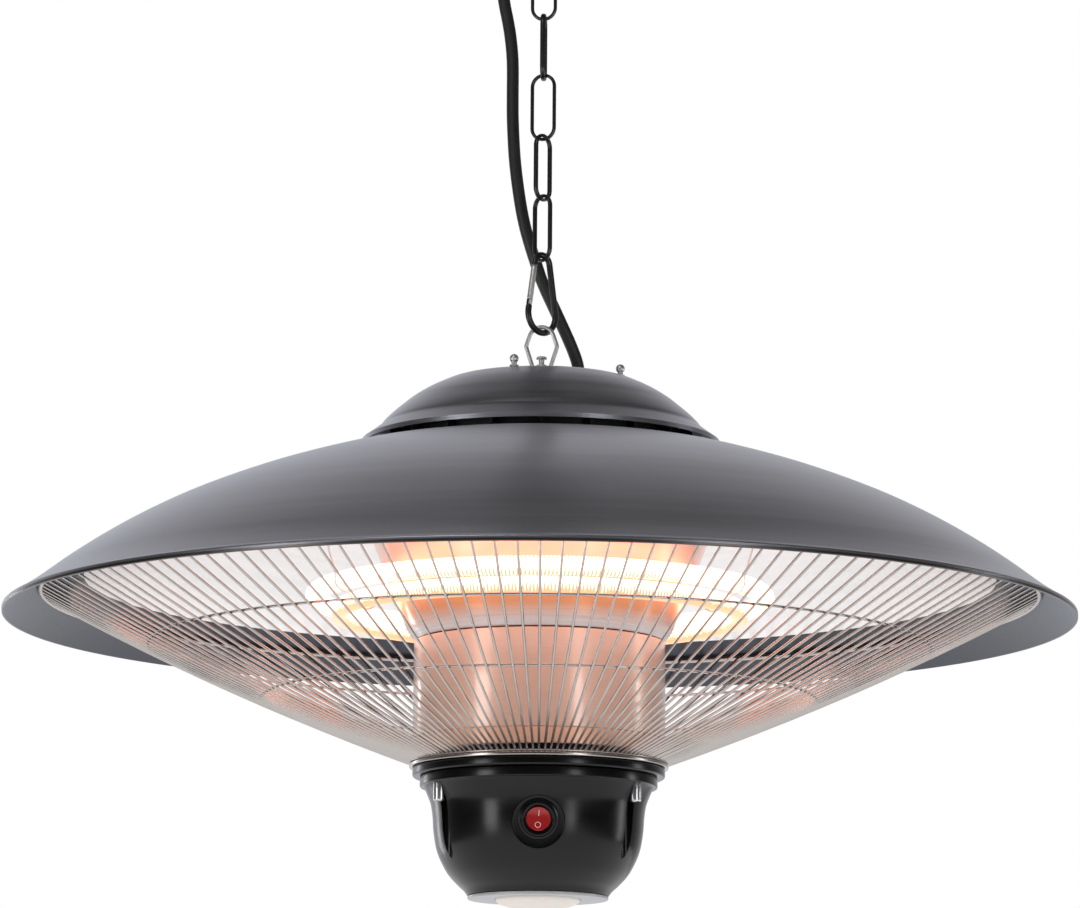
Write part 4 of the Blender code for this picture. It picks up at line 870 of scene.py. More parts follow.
class HEATER_OT_stage(bpy.types.Operator):
    """Floor, world, lamps and camera"""

    bl_idname = "heater.stage"
    bl_label = "Stage"

    def execute(self, context):
        settings = context.scene.heater_stage
        self.camera(context, settings)
        self.world(context, settings)
        self.floor(context)
        self.lamp(context, "key_lamp", settings.key_power, (1.4, 1.4), (-0.9, -2.0, RIM_Z + 2.0))
        # Narrow strips beside the camera give the column and the bowl their upright streaks.
        for name, x, y, width in (
            ("strip_lamp_left", -1.65, -1.29, 0.5), ("strip_lamp_right", 1.20, -1.72, 0.32),
            ("edge_lamp_left", -1.32, 1.63, 0.2), ("edge_lamp_right", 2.08, 0.40, 0.25),
        ):
            power = settings.strip_power * width * STRIP_HEIGHT
            self.lamp(context, name, power, (width, STRIP_HEIGHT), (x, y, RIM_Z - 0.10))
        context.scene.view_settings.view_transform = "Standard"
        return {"FINISHED"}

    def camera(self, context, settings):
        data = bpy.data.cameras.new("camera")
        data.lens = settings.lens_mm
        data.sensor_width = SENSOR_MM
        camera = bpy.data.objects.new("camera", data)
        context.scene.collection.objects.link(camera)
        place = Matrix.Translation((CAMERA_SIDE, -settings.distance, RIM_Z - CAMERA_DROP))
        pitch = Matrix.Rotation(math.radians(90 + CAMERA_PITCH_DEG), 4, "X")
        roll = Matrix.Rotation(CAMERA_ROLL, 4, "Z")
        camera.matrix_world = place @ pitch @ roll
        context.scene.camera = camera

    def world(self, context, settings):
        """White where it is seen, a plain fill for matt surfaces, and for metal a studio that is
        white behind the heater and dim in front of it and overhead."""
        world = bpy.data.worlds.new("studio")
        world.use_nodes = True
        tree = world.node_tree
        tree.nodes.clear()
        place = add(tree, "TexCoord").outputs["Generated"]
        # The white wall stands behind the heater, a little to its left.
        wall = (-0.13, 0.991, 0)
        behind = add(tree, "VectorMath", {1: wall}, {0: place}, operation="DOT_PRODUCT")
        inside = add(tree, "Math", {1: 0.0}, {0: behind.outputs["Value"]}, operation="MAXIMUM")
        steep = add(tree, "Math", {1: 3.0}, {0: inside.outputs[0]}, operation="POWER")
        strength = add(tree, "MapRange", {3: settings.front, 4: 1.0}, {0: steep.outputs[0]})
        fill = add(tree, "Background", {"Color": linear("#ffffff"), "Strength": settings.fill})
        white = add(tree, "Background", {"Color": linear("#ffffff"), "Strength": 1.0})
        tint = add(
            tree, "Mix", {6: linear("#fff4f0"), 7: linear("#f2f6ff")}, {0: steep.outputs[0]},
            data_type="RGBA",
        )
        studio = add(
            tree, "Background", links={"Color": tint.outputs[2], "Strength": strength.outputs[0]}
        )
        glossy = any_ray(tree, "Is Glossy Ray")
        mirrored = add(
            tree, "MixShader", links={0: glossy, 1: fill.outputs[0], 2: studio.outputs[0]}
        )
        seen = any_ray(tree, "Is Camera Ray", "Is Transmission Ray")
        mixed = add(
            tree, "MixShader", links={0: seen, 1: mirrored.outputs[0], 2: white.outputs[0]}
        )
        add(tree, "OutputWorld", links={"Surface": mixed.outputs[0]})
        context.scene.world = world

    def floor(self, context):
        bm = bmesh.new()
        bmesh.ops.create_grid(bm, x_segments=1, y_segments=1, size=FLOOR_SIZE)
        bmesh.ops.translate(bm, verts=bm.verts, vec=(0, 0, FLOOR_Z))
        base = context.scene.heater_colours.floor
        made, tree, shader = finish("painted_floor", base, 0.7)
        grained(tree, shader, base, 3.0, 2.0, 0.01)
        # Seen or mirrored, the floor comes up to white and keeps the heater's shadow.
        shown = any_ray(tree, "Is Camera Ray", "Is Glossy Ray", "Is Transmission Ray")
        glow = add(tree, "Math", {1: FLOOR_GLOW}, {0: shown}, operation="MULTIPLY")
        shader.inputs["Emission Color"].default_value = linear("#ffffff")
        tree.links.new(glow.outputs[0], shader.inputs["Emission Strength"])
        # From below, the floor lets the heater be seen.
        under = add(tree, "NewGeometry").outputs["Backfacing"]
        clear = add(tree, "BsdfTransparent")
        sides = add(
            tree, "MixShader", links={0: under, 1: shader.outputs[0], 2: clear.outputs[0]}
        )
        tree.links.new(sides.outputs[0], tree.nodes["Material Output"].inputs["Surface"])
        FINISHES["floor"] = made
        piece("floor", bm, "floor", None)

    def lamp(self, context, name, power, size, at):
        data = bpy.data.lights.new(name, "AREA")
        data.shape = "RECTANGLE"
        data.size, data.size_y = size
        data.energy = power
        lamp = bpy.data.objects.new(name, data)
        context.scene.collection.objects.link(lamp)
        aim = Vector((0, 0, RIM_Z)) - Vector(at)
        turn = aim.to_track_quat("-Z", "Y").to_matrix().to_4x4()
        lamp.matrix_world = Matrix.Translation(at) @ turn


class HEATER_OT_cord(bpy.types.Operator):
    """The lead from the ceiling grip down to the cap's gland"""

    bl_idname = "heater.cord"
    bl_label = "Lead"

    def execute(self, context):
        radius = context.scene.heater_sizes.cord_diameter / 2
        path = [CORD_ROUTE[0], *smooth(CORD_ROUTE[1:-1], 4), CORD_ROUTE[-1]]
        lead = piece("power_lead", from_curve(path, radius, 14), "cord", None, ["power_cord"], 60)
        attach(lead, "ceiling_fixing")
        return {"FINISHED"}


class HEATER_OT_ceiling(bpy.types.Operator):
    """Ceiling plate, canopy, hook and cord grip"""

    bl_idname = "heater.ceiling"
    bl_label = "Ceiling fitting"

    def execute(self, context):
        radius, low = 0.040, -0.004
        plate = rounded([(0.0, 0.0), (radius, 0.0, 0.0006), (radius, low, 0.0008), (0.0, low)])
        piece(
            "ceiling_disc", spun(plate, 96, closed=False), "plated", "ceiling_fixing",
            ["ceiling_plate"],
        )
        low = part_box("ceiling_canopy")[0][2]
        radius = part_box("ceiling_canopy")[1][0]
        wall, hole = 0.0016, 0.0028
        dish = rounded([
            (radius, 0.0, 0.0004), (radius, low, 0.008), (hole, low, 0.0004), (hole, low + wall),
            (radius - wall, low + wall, 0.0064), (radius - wall, 0.0, 0.0004),
        ], 8)
        canopy = piece(
            "ceiling_dish", spun(dish, 128), "coated", "ceiling_fixing", ["ceiling_canopy"],
        )
        grip_at = (CORD_ROUTE[0][0], CORD_ROUTE[0][1], 0)
        carve(canopy, [put(cylinder(0.0038, low - 0.01, low + 0.01, 32), grip_at)], 32)

        # The hook swings out from its shank and bends round under the seat.
        bend = 0.0125
        pivot = PIVOT["hook_to_link_0"].z
        swing = [(0.0, bend * 2.7), (-bend * 0.30, bend * 2.15), (-bend * 0.78, bend * 1.62)]
        bow = arc((0.0, bend), bend, 180, 382.5, 24)
        route = [(0.0, -0.0043 - pivot), *smooth([*swing, bow[0]], 6)[:-1], *bow]
        wire = from_curve(upright(route), 0.0025, 16)
        piece(
            "ceiling_wire_hook", put(wire, (0, 0, pivot), LINK_YAWS_DEG[0] + 90), "coated",
            "ceiling_fixing", ["ceiling_hook"], 50,
        )
        grip_low, grip_high = (corner[2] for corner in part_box("ceiling_cord_grip"))
        rise = grip_high - grip_low
        grip = [(0.0075, grip_high, 0.0006), (0.0075, grip_low + rise * 0.55, 0.001)]
        for k in range(4):
            z = grip_low + rise * (0.46 - 0.11 * k)
            r = 0.0068 - 0.0004 * k
            grip += [(r, z, 0.0003), (r, z - rise * 0.06, 0.0003), (r - 0.0009, z - rise * 0.07)]
        grip += [(0.0046, grip_low, 0.0005), (0.0038, grip_low), (0.0038, grip_high)]
        piece(
            "ceiling_grip", put(spun(rounded(grip), 40), grip_at), "trim", "ceiling_fixing",
            ["ceiling_cord_grip"],
        )
        return {"FINISHED"}


class HEATER_OT_chain(bpy.types.Operator):
    """Chain links"""

    bl_idname = "heater.chain"
    bl_label = "Chain"

    def execute(self, context):
        thick = context.scene.heater_sizes.link_thickness
        for k, yaw in enumerate(LINK_YAWS_DEG):
            node = f"chain_link_{k}"
            low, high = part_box(node)
            top = high[2]
            radius = (LINK_WIDTH - thick) / 2
            length = high[2] - low[2] - thick
            route = arc((0, -radius), radius, 0, 180, 20)
            route += arc((0, radius - length), radius, 180, 360, 20)
            wire = from_curve(upright(route), thick / 2, 12, closed=True)
            bmesh.ops.scale(wire, vec=(1, 1.5, 1), verts=wire.verts)
            piece(
                f"link_{k}_wire", put(wire, (0, 0, top - thick / 2), yaw), "coated", f"link_{k}",
                [node], 60,
            )
        return {"FINISHED"}


class HEATER_OT_snap(bpy.types.Operator):
    """Snap hook: body, gate and its pin"""

    bl_idname = "heater.snap"
    bl_label = "Snap hook"

    def execute(self, context):
        wire = 0.0036
        top_r, low_r = 0.0078 - wire / 2, 0.0127 - wire / 2
        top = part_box("snap_body")[1][2] - wire / 2
        top_c = Vector((0.0, top - top_r))
        low_c = Vector((0.0, top - (SNAP_LENGTH - wire) + low_r))
        lean = math.asin((low_r - top_r) / (top_c.y - low_c.y))
        lean_deg = math.degrees(lean)
        out = Vector((-math.cos(lean), math.sin(lean)))
        high, low = top_c + out * top_r, low_c + out * low_r
        run = (high - low).normalized()
        stub, nose = low + run * (wire / 2), high - run * (wire / 2)
        pin = stub + run * 0.0022
        route = [tuple(stub)]
        route += arc(tuple(low_c), low_r, 180 - lean_deg, 360 + lean_deg, 32)
        route += arc(tuple(top_c), top_r, lean_deg, 180 - lean_deg, 24)
        route += [tuple(nose)]
        body = from_curve(upright(route), wire / 2, 16)
        obj = piece(
            "snap_wire", put(body, (0, 0, 0), SNAP_YAW_DEG), "coated", "snap_hook", ["snap_body"],
            50,
        )
        tilt = math.degrees(math.atan2(run.x, run.y))
        tongue = block((wire * 0.8, 0.0013, 0.0055), (0, 0, 0), 0.0003)
        at = Vector((stub.x, 0, stub.y)) + Vector((run.x, 0, run.y)) * 0.0010
        turn = Matrix.Rotation(math.radians(SNAP_YAW_DEG), 3, "Z")
        carve(obj, [put(tongue, turn @ at, SNAP_YAW_DEG, (tilt, "Y"))], 50, "UNION")

        # The gate: a rod with a fork at its foot and a rounded end at the nose.
        fork, tip = stub + run * 0.0005, nose - run * 0.0005
        length = (tip - fork).length
        radius = 0.0017
        rod = spun(
            rounded([(0, 0), (radius, 0, 0.0004), (radius, length, 0.0007), (0, length)]), 32, False
        )
        at = turn @ Vector((fork.x, 0, fork.y))
        gate = piece(
            "snap_gate_rod", put(rod, at, SNAP_YAW_DEG, (tilt, "Y")), "plated", "gate",
            ["snap_gate"], 40, slot="silver_steel",
        )
        slot = block((0.008, 0.0019, 0.0072), (0, 0, 0.0012), 0.0003)
        floor, outside = radius - 0.00015, radius + 0.001
        groove = spun(
            [(floor, length * 0.80), (outside, length * 0.80), (outside, length * 0.83),
             (floor, length * 0.83)], 32,
        )
        carve(gate, [put(tool, at, SNAP_YAW_DEG, (tilt, "Y")) for tool in (slot, groove)], 40)
        pin_at = turn @ Vector((pin.x, 0, pin.y))
        half, rivet_r = 0.00175, 0.0006
        rivet = spun(
            rounded([(0, -half), (rivet_r, -half, 0.0002), (rivet_r, half, 0.0002), (0, half)]),
            20, False,
        )
        piece(
            "snap_rivet", put(rivet, pin_at, SNAP_YAW_DEG, (90, "X")), "plated", "snap_hook",
            ["snap_pin"],
        )
        return {"FINISHED"}


class HEATER_OT_hanger(bpy.types.Operator):
    """Wire bail and the bolt it turns in"""

    bl_idname = "heater.hanger"
    bl_label = "Hanger"

    def execute(self, context):
        wire, bow_r, collar = 0.0024, 0.0070, 0.0032
        pivot = PIVOT["bail_to_heater"].z
        bow_c = Vector((0.0, 0.0231 + wire / 2 - bow_r))
        leg = collar + wire / 2 + GAP
        kink = Vector((0.0089, 0.0130))
        reach = (kink - bow_c).length
        start = math.degrees(
            math.atan2(kink.y - bow_c.y, kink.x - bow_c.x) + math.acos(bow_r / reach)
        )
        bow = arc(tuple(bow_c), bow_r, start, 180 - start, 28)
        foot = Vector((leg + wire * 0.25, wire * 0.75))
        down = (foot - kink).normalized()
        over = (Vector(bow[0]) - kink).normalized()
        knee = 0.0016
        bend = smooth([kink + down * knee, kink + (down + over) * 0.0003, kink + over * knee], 4)
        ankle = smooth([
            (collar - wire, 0.0), (leg - wire * 0.6, 0.0), (leg + wire * 0.1, wire * 0.25), foot,
        ], 4)
        right = ankle + bend
        route = right + bow + [(-x, z) for x, z in reversed(right)]
        piece(
            "bail_wire", put(from_curve(upright(route), wire / 2, 16), (0, 0, pivot)), "plated",
            "bail", ["hanger_bail"], 50, slot="silver_steel",
        )
        low, head = (corner[2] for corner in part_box("hanger_bolt"))
        seat = CAP_TOP_Z + GAP
        shank, neck, button = 0.0037, 0.0016, 0.0033
        waist, under = CAP_TOP_Z + 0.0060, head - 0.0021
        outline = [
            (0, low), (shank, low, 0.0004), (shank, seat), (collar, seat + 0.0004, 0.0003),
            (collar, waist, 0.0006), (neck, waist, 0.0004), (neck, under, 0.0003),
            (button, under, 0.0005), (0.0029, head - 0.0007, 0.0012), (0, head),
        ]
        bolt = piece(
            "hanger_stud", spun(rounded(outline), 48, False), "plated", "heater", ["hanger_bolt"],
        )
        eye = cylinder(wire / 2 + GAP, -0.01, 0.01, 28)
        carve(bolt, [put(eye, (0, 0, pivot), 0, (90, "Y"))], 32)
        return {"FINISHED"}


class HEATER_OT_cap(bpy.types.Operator):
    """Domed cap with its studs, gland and vent"""

    bl_idname = "heater.cap"
    bl_label = "Cap"

    def execute(self, context):
        wall = 0.0012
        dome = cap_dome()
        brim = shares_to_outline(CAP_BRIM_SHARES, CAP_RADIUS, CAP_LIP_Z, CAP_TOP_Z)
        outer = dome + brim
        inner = offset(outer, -wall)
        inner[-1] = (CAP_RADIUS - wall, CAP_LIP_Z)
        hole = 0.0041
        outer[0], inner[0] = (hole, outer[0][1]), (hole, inner[0][1])
        cap = piece("cap_dome", spun(outer + inner[::-1], 192), "sheet", "heater", ["top_cap"], 28)
        self.studs()
        gland_at = Vector((CORD_ROUTE[-1][0], CORD_ROUTE[-1][1], 0))
        carve(cap, [put(cylinder(0.0053, -0.36, -0.29, 40), gland_at)], 28)
        self.gland(gland_at)
        self.vent(context.scene.heater_sizes.vent_fins)
        return {"FINISHED"}

    def studs(self):
        for k in range(4):
            node = f"cap_stud_{k + 1}"
            low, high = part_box(node)
            middle = (Vector(low) + Vector(high)) / 2
            top = high[2]
            ball, stem, washer, root = 0.00255, 0.00155, 0.0026, 0.0034
            dome_z = height_at(cap_dome(), middle.xy.length) + 0.0001
            neck = top - ball - math.sqrt(ball**2 - stem**2)
            head = arc((0.0, top - ball), ball, -math.degrees(math.acos(stem / ball)), 90, 12)[:-1]
            outline = [
                (0, low[2]), (root, low[2]), (root, CAP_TOP_Z - 0.008), (stem, CAP_TOP_Z - 0.008),
                (stem, dome_z), (washer, dome_z), (washer, dome_z + 0.0006), (stem, dome_z + 0.0008),
                (stem, neck), *head, (0, top),
            ]
            piece(
                f"stud_{k + 1}", put(spun(outline, 32, False), (middle.x, middle.y, 0)), "plated",
                "heater", [node], 40,
            )

    def gland(self, at):
        low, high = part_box("cap_gland")
        bottom, top = low[2], high[2]
        bore, neck, nut, boot = 0.0038, 0.0050, 0.0070, 0.0062
        seat = height_at(cap_dome(), math.hypot(at.x, at.y) - nut) - 0.0009
        outline = [
            (neck, bottom, 0.0003), (neck, seat - 0.0012), (nut, seat - 0.0012, 0.0004),
            (nut, seat + 0.0024, 0.0008), (boot, seat + 0.0030, 0.0004),
        ]
        rings = 4
        for k in range(rings):
            z = seat + 0.0036 + (top - seat - 0.0046) * k / rings
            r = boot - 0.0004 * k
            outline += [(r, z, 0.0003), (r, z + 0.0009, 0.0003), (r - 0.0008, z + 0.0011)]
        outline += [(bore + 0.0006, top, 0.0002), (bore, top), (bore, bottom)]
        piece("cap_cord_boot", put(spun(rounded(outline), 40), at), "trim", "heater", ["cap_gland"])

    def vent(self, count):
        low, high = (corner[2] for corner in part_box("vent_ring"))
        out, inside = 0.0820, 0.0800
        band = spun(rounded([
            (out, low, 0.0002), (out, high, 0.0004), (inside, high, 0.0004), (inside, low, 0.0002),
        ]), 128)
        fin = block((0.0085, 0.0014, high - low - 0.0006), (0.0851, 0, (low + high) / 2), 0.0003, 2)
        piece("vent_fins", joined(band, fanned(fin, count)), "trim", "heater", ["vent_ring"])


class HEATER_OT_shade(bpy.types.Operator):
    """The wide spun shade"""

    bl_idname = "heater.shade"
    bl_label = "Shade"

    def execute(self, context):
        wall = context.scene.heater_sizes.shade_wall
        outer = shade_outline()
        lip = [(RIM_RADIUS, RIM_Z + 0.0031, 0.0006), (RIM_RADIUS, RIM_Z, 0.0005)]
        sheet, hole = wall * 0.8, 0.030
        inner = self.hemmed(outer, sheet, sheet)
        outline = rounded(
            [(hole, SHADE_TOP_Z)] + outer + lip + inner[::-1] + [(hole, SHADE_TOP_Z - sheet)], 4
        )
        piece("shade_spinning", spun(outline, 256), "sheet", "heater", ["main_shade"], 28)
        # The enamel inside it is a skin of its own, from the top plate to the lip.
        deep, start = sheet * 0.9, 0.031
        skin = [(start, SHADE_TOP_Z - deep)] + self.hemmed(outer, deep, deep)
        face = [(start, SHADE_TOP_Z - wall)] + self.hemmed(outer, wall, wall + 0.0003)
        piece("shade_lining", spun(skin + face[::-1], 192), "lining", "heater", ["main_shade"], 28)
        return {"FINISHED"}

    def hemmed(self, outer, depth, edge):
        """The inner side of the sheet, which runs straight down to the lip's solid hem."""
        inside = [point for point in offset(outer, -depth) if point[0] < RIM_RADIUS - 0.0095]
        return inside + [(RIM_RADIUS - edge, RIM_Z)]


class HEATER_OT_column(bpy.types.Operator):
    """Reflector, column cone and tube, band and neck"""

    bl_idname = "heater.column"
    bl_label = "Reflector and column"

    def execute(self, context):
        wall = 0.0008
        outer = reflector_outline()
        edge = outer[-1]
        inner = offset(outer, -wall)
        outline = [(ROD_HOLE, outer[0][1])] + outer + [(edge[0], edge[1] - wall)]
        outline += inner[:-1][::-1] + [(ROD_HOLE, outer[0][1] - wall)]
        piece("reflector_dish", spun(outline, 192), "reflector", "heater", ["reflector"], 28)
        low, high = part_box("column_cone")
        seam, top = low[2], high[2]
        cone = smooth(shares_to_outline(CONE_SHARES, high[0], seam, top), 5)
        inside = offset(cone, -0.001)
        inside[0] = (inside[0][0], top)
        inside[-1] = (inside[-1][0], seam)
        piece(
            "column_cone_sheet", spun(cone + inside[::-1], 160), "cone", "heater", ["column_cone"],
            30,
        )
        for node, name, finish_name, radius, wall in (
            ("column_tube", "column_tube_sheet", "column", COLUMN_RADIUS, 0.001),
            ("column_band", "column_band_sheet", "band", COLUMN_RADIUS, 0.001),
            ("housing_neck", "housing_neck_ring", "gloss", NECK_RADIUS, 0.002),
        ):
            low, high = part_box(node)
            ring = rounded([
                (radius, high[2], 0.0006), (radius, low[2], 0.0006), (radius - wall, low[2], 0.0003),
                (radius - wall, high[2], 0.0003),
            ])
            piece(name, spun(ring, 160), finish_name, "heater", [node], 30)
        return {"FINISHED"}


class HEATER_OT_tubes(bpy.types.Operator):
    """Heating tubes, their sockets and wire clips"""

    bl_idname = "heater.tubes"
    bl_label = "Heating tubes"

    def execute(self, context):
        radius = context.scene.heater_sizes.tube_radius
        rings = (
            ("upper", UPPER_RING_RADIUS, UPPER_TUBE_Z), ("lower", LOWER_RING_RADIUS, LOWER_TUBE_Z)
        )
        half_socket = 0.012
        for name, ring, z in rings:
            end = math.degrees(math.asin((half_socket + GAP + radius * 0.12) / ring))
            route = [(x, y, z) for x, y in arc((0, 0), ring, 90 + end, 450 - end, 120)]
            piece(
                f"quartz_tube_{name}", from_curve(route, radius, 16), f"glow_{name}", "heater",
                [f"heating_tube_{name}"], 50,
            )
            low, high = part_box(f"tube_socket_{name}")
            size = Vector(high) - Vector(low)
            middle = (Vector(high) + Vector(low)) / 2
            piece(
                f"ceramic_socket_{name}", block(size, middle, 0.0012), "ceramic", "heater",
                [f"tube_socket_{name}"], 40,
            )
        clip_wire = 0.0012
        cradle = radius + GAP + clip_wire / 2
        foot = 0.150
        under = offset(reflector_outline(), -0.0008)
        route = [(foot, height_at(under, foot) - 0.0010)]
        route += arc((rings[0][1], rings[0][2]), cradle, 20, -95, 14)
        route += arc((rings[1][1], rings[1][2]), cradle, -65, -190, 14)
        for k, degrees in enumerate((-58, 58)):
            wire = from_curve(upright(route), clip_wire / 2, 8)
            piece(
                f"clip_{k + 1}", put(wire, (0, 0, 0), degrees - 90), "plated", "heater",
                [f"tube_clip_{k + 1}"], 60,
            )
        return {"FINISHED"}


class HEATER_OT_guard(bpy.types.Operator):
    """Wire guard: radial wires, rings, rim and collar"""

    bl_idname = "heater.guard"
    bl_label = "Wire guard"

    def execute(self, context):
        sizes = context.scene.heater_sizes
        radius = sizes.wire_diameter / 2
        line = guard_curve(12)
        wires = fanned(from_curve(upright(line), radius, 6), sizes.wire_count)
        hub_r, hub_z = line[0]
        out, inside = hub_r + 0.0004, hub_r - 0.0022
        under, over = hub_z - 0.001, hub_z - 0.0003
        hub = spun(rounded([
            (out, under, 0.0002), (out, over, 0.0003), (inside, over, 0.0002),
            (inside, under, 0.0002),
        ]), 160)
        piece("guard_wires", joined(wires, hub), "wire", "heater", ["guard_grille"], 60)
        for k in range(2):
            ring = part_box(f"guard_ring_{k + 1}")[1][0] - radius
            z = height_at(line, ring) + 2 * radius + 0.0001
            wire = spun(arc((ring, z), radius, 0, 360 - 45, 7), 192)
            piece(f"guard_hoop_{k + 1}", wire, "wire", "heater", [f"guard_ring_{k + 1}"], 60)
        low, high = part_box("guard_rim")
        half = sizes.rim_wire / 2
        rim = arc((high[0] - half, (low[2] + high[2]) / 2), half, 0, 330, 11)
        piece("guard_rim_channel", spun(rim, 256), "wire", "heater", ["guard_rim"], 60)
        low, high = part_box("guard_collar")
        inside = high[0] - 0.0026
        collar = rounded([
            (high[0], low[2], 0.0005), (high[0], high[2], 0.0005), (inside, high[2], 0.0003),
            (inside, low[2], 0.0003),
        ])
        piece("guard_collar_ring", spun(collar, 160), "wire", "heater", ["guard_collar"])
        return {"FINISHED"}


class HEATER_OT_housing(bpy.types.Operator):
    """Lower housing: flange, bowl, screws, lens ring and lens"""

    bl_idname = "heater.housing"
    bl_label = "Housing"

    def execute(self, context):
        low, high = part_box("housing_flange")
        radius = high[0]
        flange = rounded([
            (ROD_HOLE, high[2]), (radius, high[2], 0.0009), (radius, low[2], 0.0011),
            (ROD_HOLE, low[2]),
        ], 5)
        piece("housing_rim_plate", spun(flange, 192), "gloss", "heater", ["housing_flange"], 30)
        self.bowl()
        self.screws()
        self.lamp()
        return {"FINISHED"}

    def bowl(self):
        """The shell, with three slots for the barrel screws and a recess for the switch."""
        radius = BOWL_RADIUS
        drop = BOWL_TOP_Z - BOWL_BOTTOM_Z
        side = smooth([(r * radius, BOWL_TOP_Z - z * drop) for r, z in BOWL_SHARES], 4)
        outer = [(radius, BOWL_TOP_Z, 0.0005), (radius, BOWL_RING_Z, 0.0008)]
        outer += [(*side[0], 0.0004)] + side[1:-1] + [(*side[-1], 0.0006)]
        inner = [(radius * r, BOWL_BOTTOM_Z + z * drop) for r, z in (
            (BOWL_MOUTH_SHARE, 0.0), (BOWL_MOUTH_SHARE, 0.06), (0.682, 0.28), (0.793, 0.46),
            (0.793, 1.0),
        )]
        bowl = piece(
            "housing_bowl_shell", spun(rounded(outer + inner), 256), "gloss", "heater",
            ["housing_bowl"], 30,
        )
        half = 0.0037
        back = radius * 0.813 + half
        slot = [(back + x, y) for x, y in arc((0.0, 0.0), half, 90, 270, 16)]
        slot += [(radius + 0.002, -half), (radius + 0.002, half)]
        tools = []
        for k in range(3):
            groove = prism(slot, BOWL_TOP_Z - 0.8 * drop, BOWL_RING_Z)
            tools.append(put(groove, (0, 0, 0), FIRST_SCREW_DEG + 120 * k - 90))
        dish, deep = 0.0148, 0.015
        recess = spun(rounded([(0, 0), (dish, 0, 0.0010), (dish, deep), (0, deep)], 5), 96, False)
        bmesh.ops.translate(recess, verts=recess.verts, vec=(0, -0.0013, 0))
        tools += [in_switch(recess), in_switch(cylinder(0.0100, -0.017, 0.015, 64))]
        carve(bowl, tools, 30)

    def screws(self):
        for k in range(3):
            node = f"housing_screw_{k + 1}"
            low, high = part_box(node)
            middle = (Vector(low) + Vector(high)) / 2
            radius, shank, socket, deep = 0.0034, 0.0016, 0.0015, 0.0018
            top = BOWL_RING_Z - GAP
            outline = [
                (0, low[2] + deep), (socket, low[2] + deep), (socket, low[2], 0.0002),
                (radius, low[2], 0.0006), (radius, top, 0.0005), (shank, top), (shank, high[2]),
                (0, high[2]),
            ]
            piece(
                f"barrel_screw_{k + 1}",
                put(spun(rounded(outline), 40, False), (middle.x, middle.y, 0)), "chrome", "heater",
                [node],
            )

    def lamp(self):
        high = BOWL_BOTTOM_Z - GAP
        thick, collar, well, mouth, glass = 0.0016, 0.0040, 0.0273, 0.0240, 0.0237
        low = high - thick
        shelf = low + thick * 0.6
        radius = BOWL_RADIUS * BOWL_SHARES[-1][0]
        neck = BOWL_RADIUS * BOWL_MOUTH_SHARE - GAP
        ring = rounded([
            (well, high + collar, 0.0003), (neck, high + collar, 0.0005), (neck, high),
            (radius, high, 0.0003), (radius, low, 0.0006), (mouth + 0.0010, low, 0.0005),
            (mouth, low + 0.0005, 0.0002), (mouth, shelf), (well, shelf),
        ], 5)
        piece("lens_end_ring", spun(ring, 160), "end_ring", "heater", ["lens_ring"], 30)
        lens_low, lens_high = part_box("lens_diffuser")
        bulge = low - lens_low[2]
        seat = shelf + GAP
        outline = [(0, lens_high[2]), (0.0270, lens_high[2]), (0.0270, seat), (glass, seat)]
        outline += [(glass, low)]
        steps = 13
        for i in range(1, steps + 1):
            turn = math.pi / 2 * i / steps
            outline.append((glass * math.cos(turn), low - bulge * math.sin(turn)))
        outline[-1] = (0, lens_low[2])
        piece("lens_bulb", spun(outline, 96, False), "lens", "heater", ["lens_diffuser"], 40)


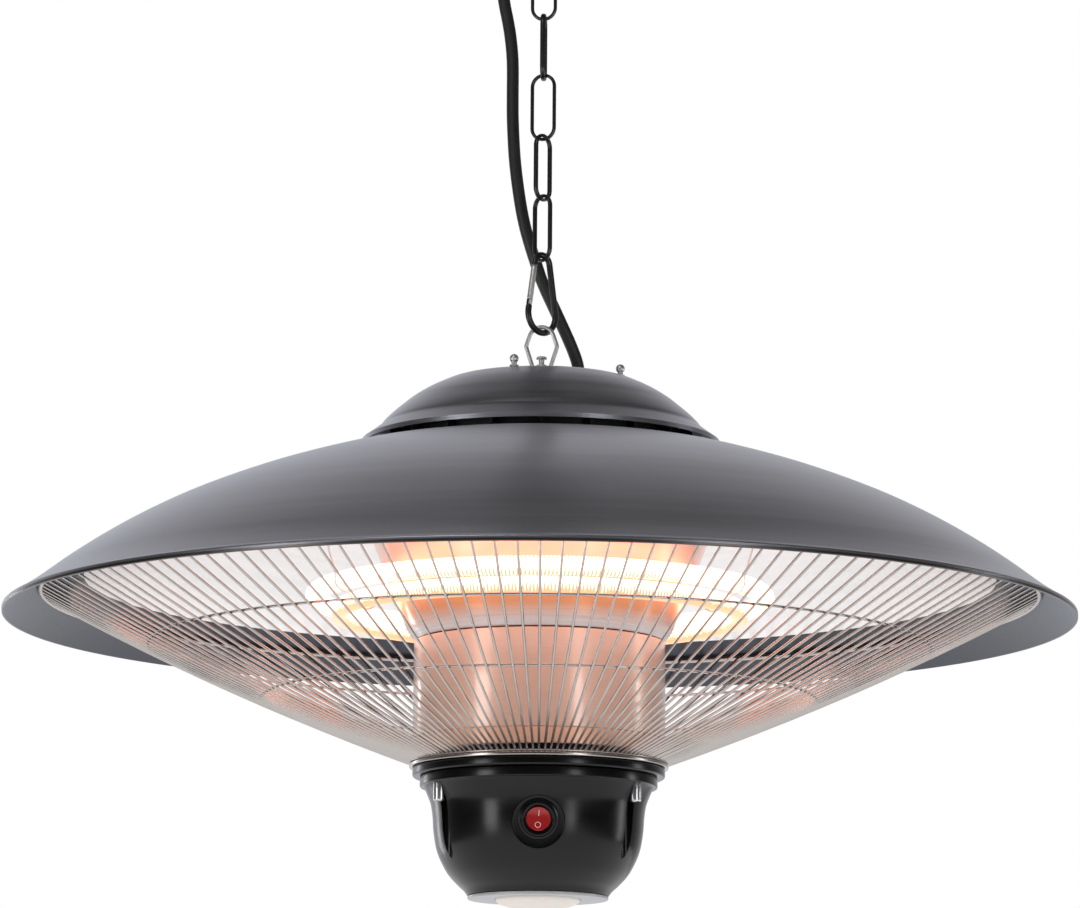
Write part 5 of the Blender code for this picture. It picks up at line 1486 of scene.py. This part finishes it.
class HEATER_OT_switch(bpy.types.Operator):
    """Round switch: frame, rocker and its marks"""

    bl_idname = "heater.switch"
    bl_label = "Switch"

    def execute(self, context):
        back, seat, face = GAP - 0.0150, GAP, GAP + BEZEL_FACE
        well = SWITCH_AXIS_RISE - 0.0046
        outline = [
            (0, back), (0.0097, back, 0.0004), (0.0097, seat), (0.0115, seat, 0.0002),
            (0.0113, seat + 0.0009, 0.0005), (0.0100, seat + 0.0013, 0.0003),
            (0.0095, face, 0.0006), (0.0083, face, 0.0005), (0.0075, face - 0.0006, 0.0003),
            (0.0075, well), (0, well),
        ]
        piece(
            "switch_bezel", in_switch(spun(rounded(outline), 96, False)), "gloss", "heater",
            ["switch_frame"], 30, slot="black_plastic",
        )
        # The rocker's face is hollowed, and its upper side is pressed in.
        radius, front, hollow = 0.00665, 0.0020, 0.022
        back = -0.0030
        tilt = Matrix.Rotation(math.radians(-7), 4, "X")
        tilt = Matrix.Translation((0, 0, SWITCH_AXIS_RISE)) @ tilt
        disc = rounded([(0, back), (radius, back), (radius, front, 0.0008), (0, front)], 6)
        disc = spun(disc, 96, False)
        rocker = piece("rocker_button", disc, "rocker", None, ["switch_rocker"], 30)
        sag = math.sqrt(hollow**2 - radius**2)
        scoop = cylinder(hollow, -0.02, 0.02, 256)
        carve(rocker, [put(scoop, (0, 0, front + sag), 0, (90, "Y"))], 30)
        rocker.data.transform(SWITCH_PLACE @ tilt)
        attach(rocker, "rocker")

        # Each mark leans with the hollow at its own place.
        away = 0.0033
        lean = math.degrees(math.asin(away / hollow))
        rise = front + sag - math.sqrt(hollow**2 - away**2) + 0.00006
        ring = spun(arc((0.00150, 0), 0.00020, 0, 315, 7), 48)
        bar = block((0.00042, 0.0032, 0.0003), (0, 0, 0), 0.0001, 2)
        marks = joined(
            put(ring, (0, -away, rise), 0, (-lean, "X")), put(bar, (0, away, rise), 0, (lean, "X"))
        )
        turn = Matrix.Rotation(math.radians(-5), 4, "Z")
        bmesh.ops.transform(marks, matrix=SWITCH_PLACE @ tilt @ turn, verts=marks.verts)
        piece("rocker_marks", marks, "mark", "rocker", (), 40)
        return {"FINISHED"}


class HEATER_PT_panel(bpy.types.Panel):
    """Lists the heater's settings and build steps"""

    bl_idname = "HEATER_PT_panel"
    bl_label = "Patio heater"
    bl_space_type = "VIEW_3D"
    bl_region_type = "UI"
    bl_category = "Heater"

    def draw(self, context):
        layout = self.layout
        for group in (
            context.scene.heater_sizes, context.scene.heater_colours, context.scene.heater_stage
        ):
            column = layout.column(align=True)
            for name in group.__annotations__:
                column.prop(group, name)
        for step in STEPS:
            layout.operator(step.bl_idname)


STEPS = (
    HEATER_OT_stage,
    HEATER_OT_cord,
    HEATER_OT_ceiling,
    HEATER_OT_chain,
    HEATER_OT_snap,
    HEATER_OT_hanger,
    HEATER_OT_cap,
    HEATER_OT_shade,
    HEATER_OT_column,
    HEATER_OT_tubes,
    HEATER_OT_guard,
    HEATER_OT_housing,
    HEATER_OT_switch,
)
CLASSES = (HeaterSizes, HeaterColours, StageSettings, *STEPS, HEATER_PT_panel)


def register():
    """Registers the classes and puts the settings on the scene."""
    for item in CLASSES:
        bpy.utils.register_class(item)
    bpy.types.Scene.heater_sizes = bpy.props.PointerProperty(type=HeaterSizes)
    bpy.types.Scene.heater_colours = bpy.props.PointerProperty(type=HeaterColours)
    bpy.types.Scene.heater_stage = bpy.props.PointerProperty(type=StageSettings)


def unregister():
    """Takes the settings and the classes away."""
    del bpy.types.Scene.heater_stage
    del bpy.types.Scene.heater_colours
    del bpy.types.Scene.heater_sizes
    for item in reversed(CLASSES):
        bpy.utils.unregister_class(item)


def plain(box):
    """A box of corners as plain lists of numbers."""
    return [[float(value) for value in corner] for corner in box]


def main():
    """Builds everything."""
    register()
    make_finishes(bpy.context)
    for step in STEPS:
        prefix, name = step.bl_idname.split(".")
        getattr(getattr(bpy.ops, prefix), name)()


if __name__ == "__main__":
    main()
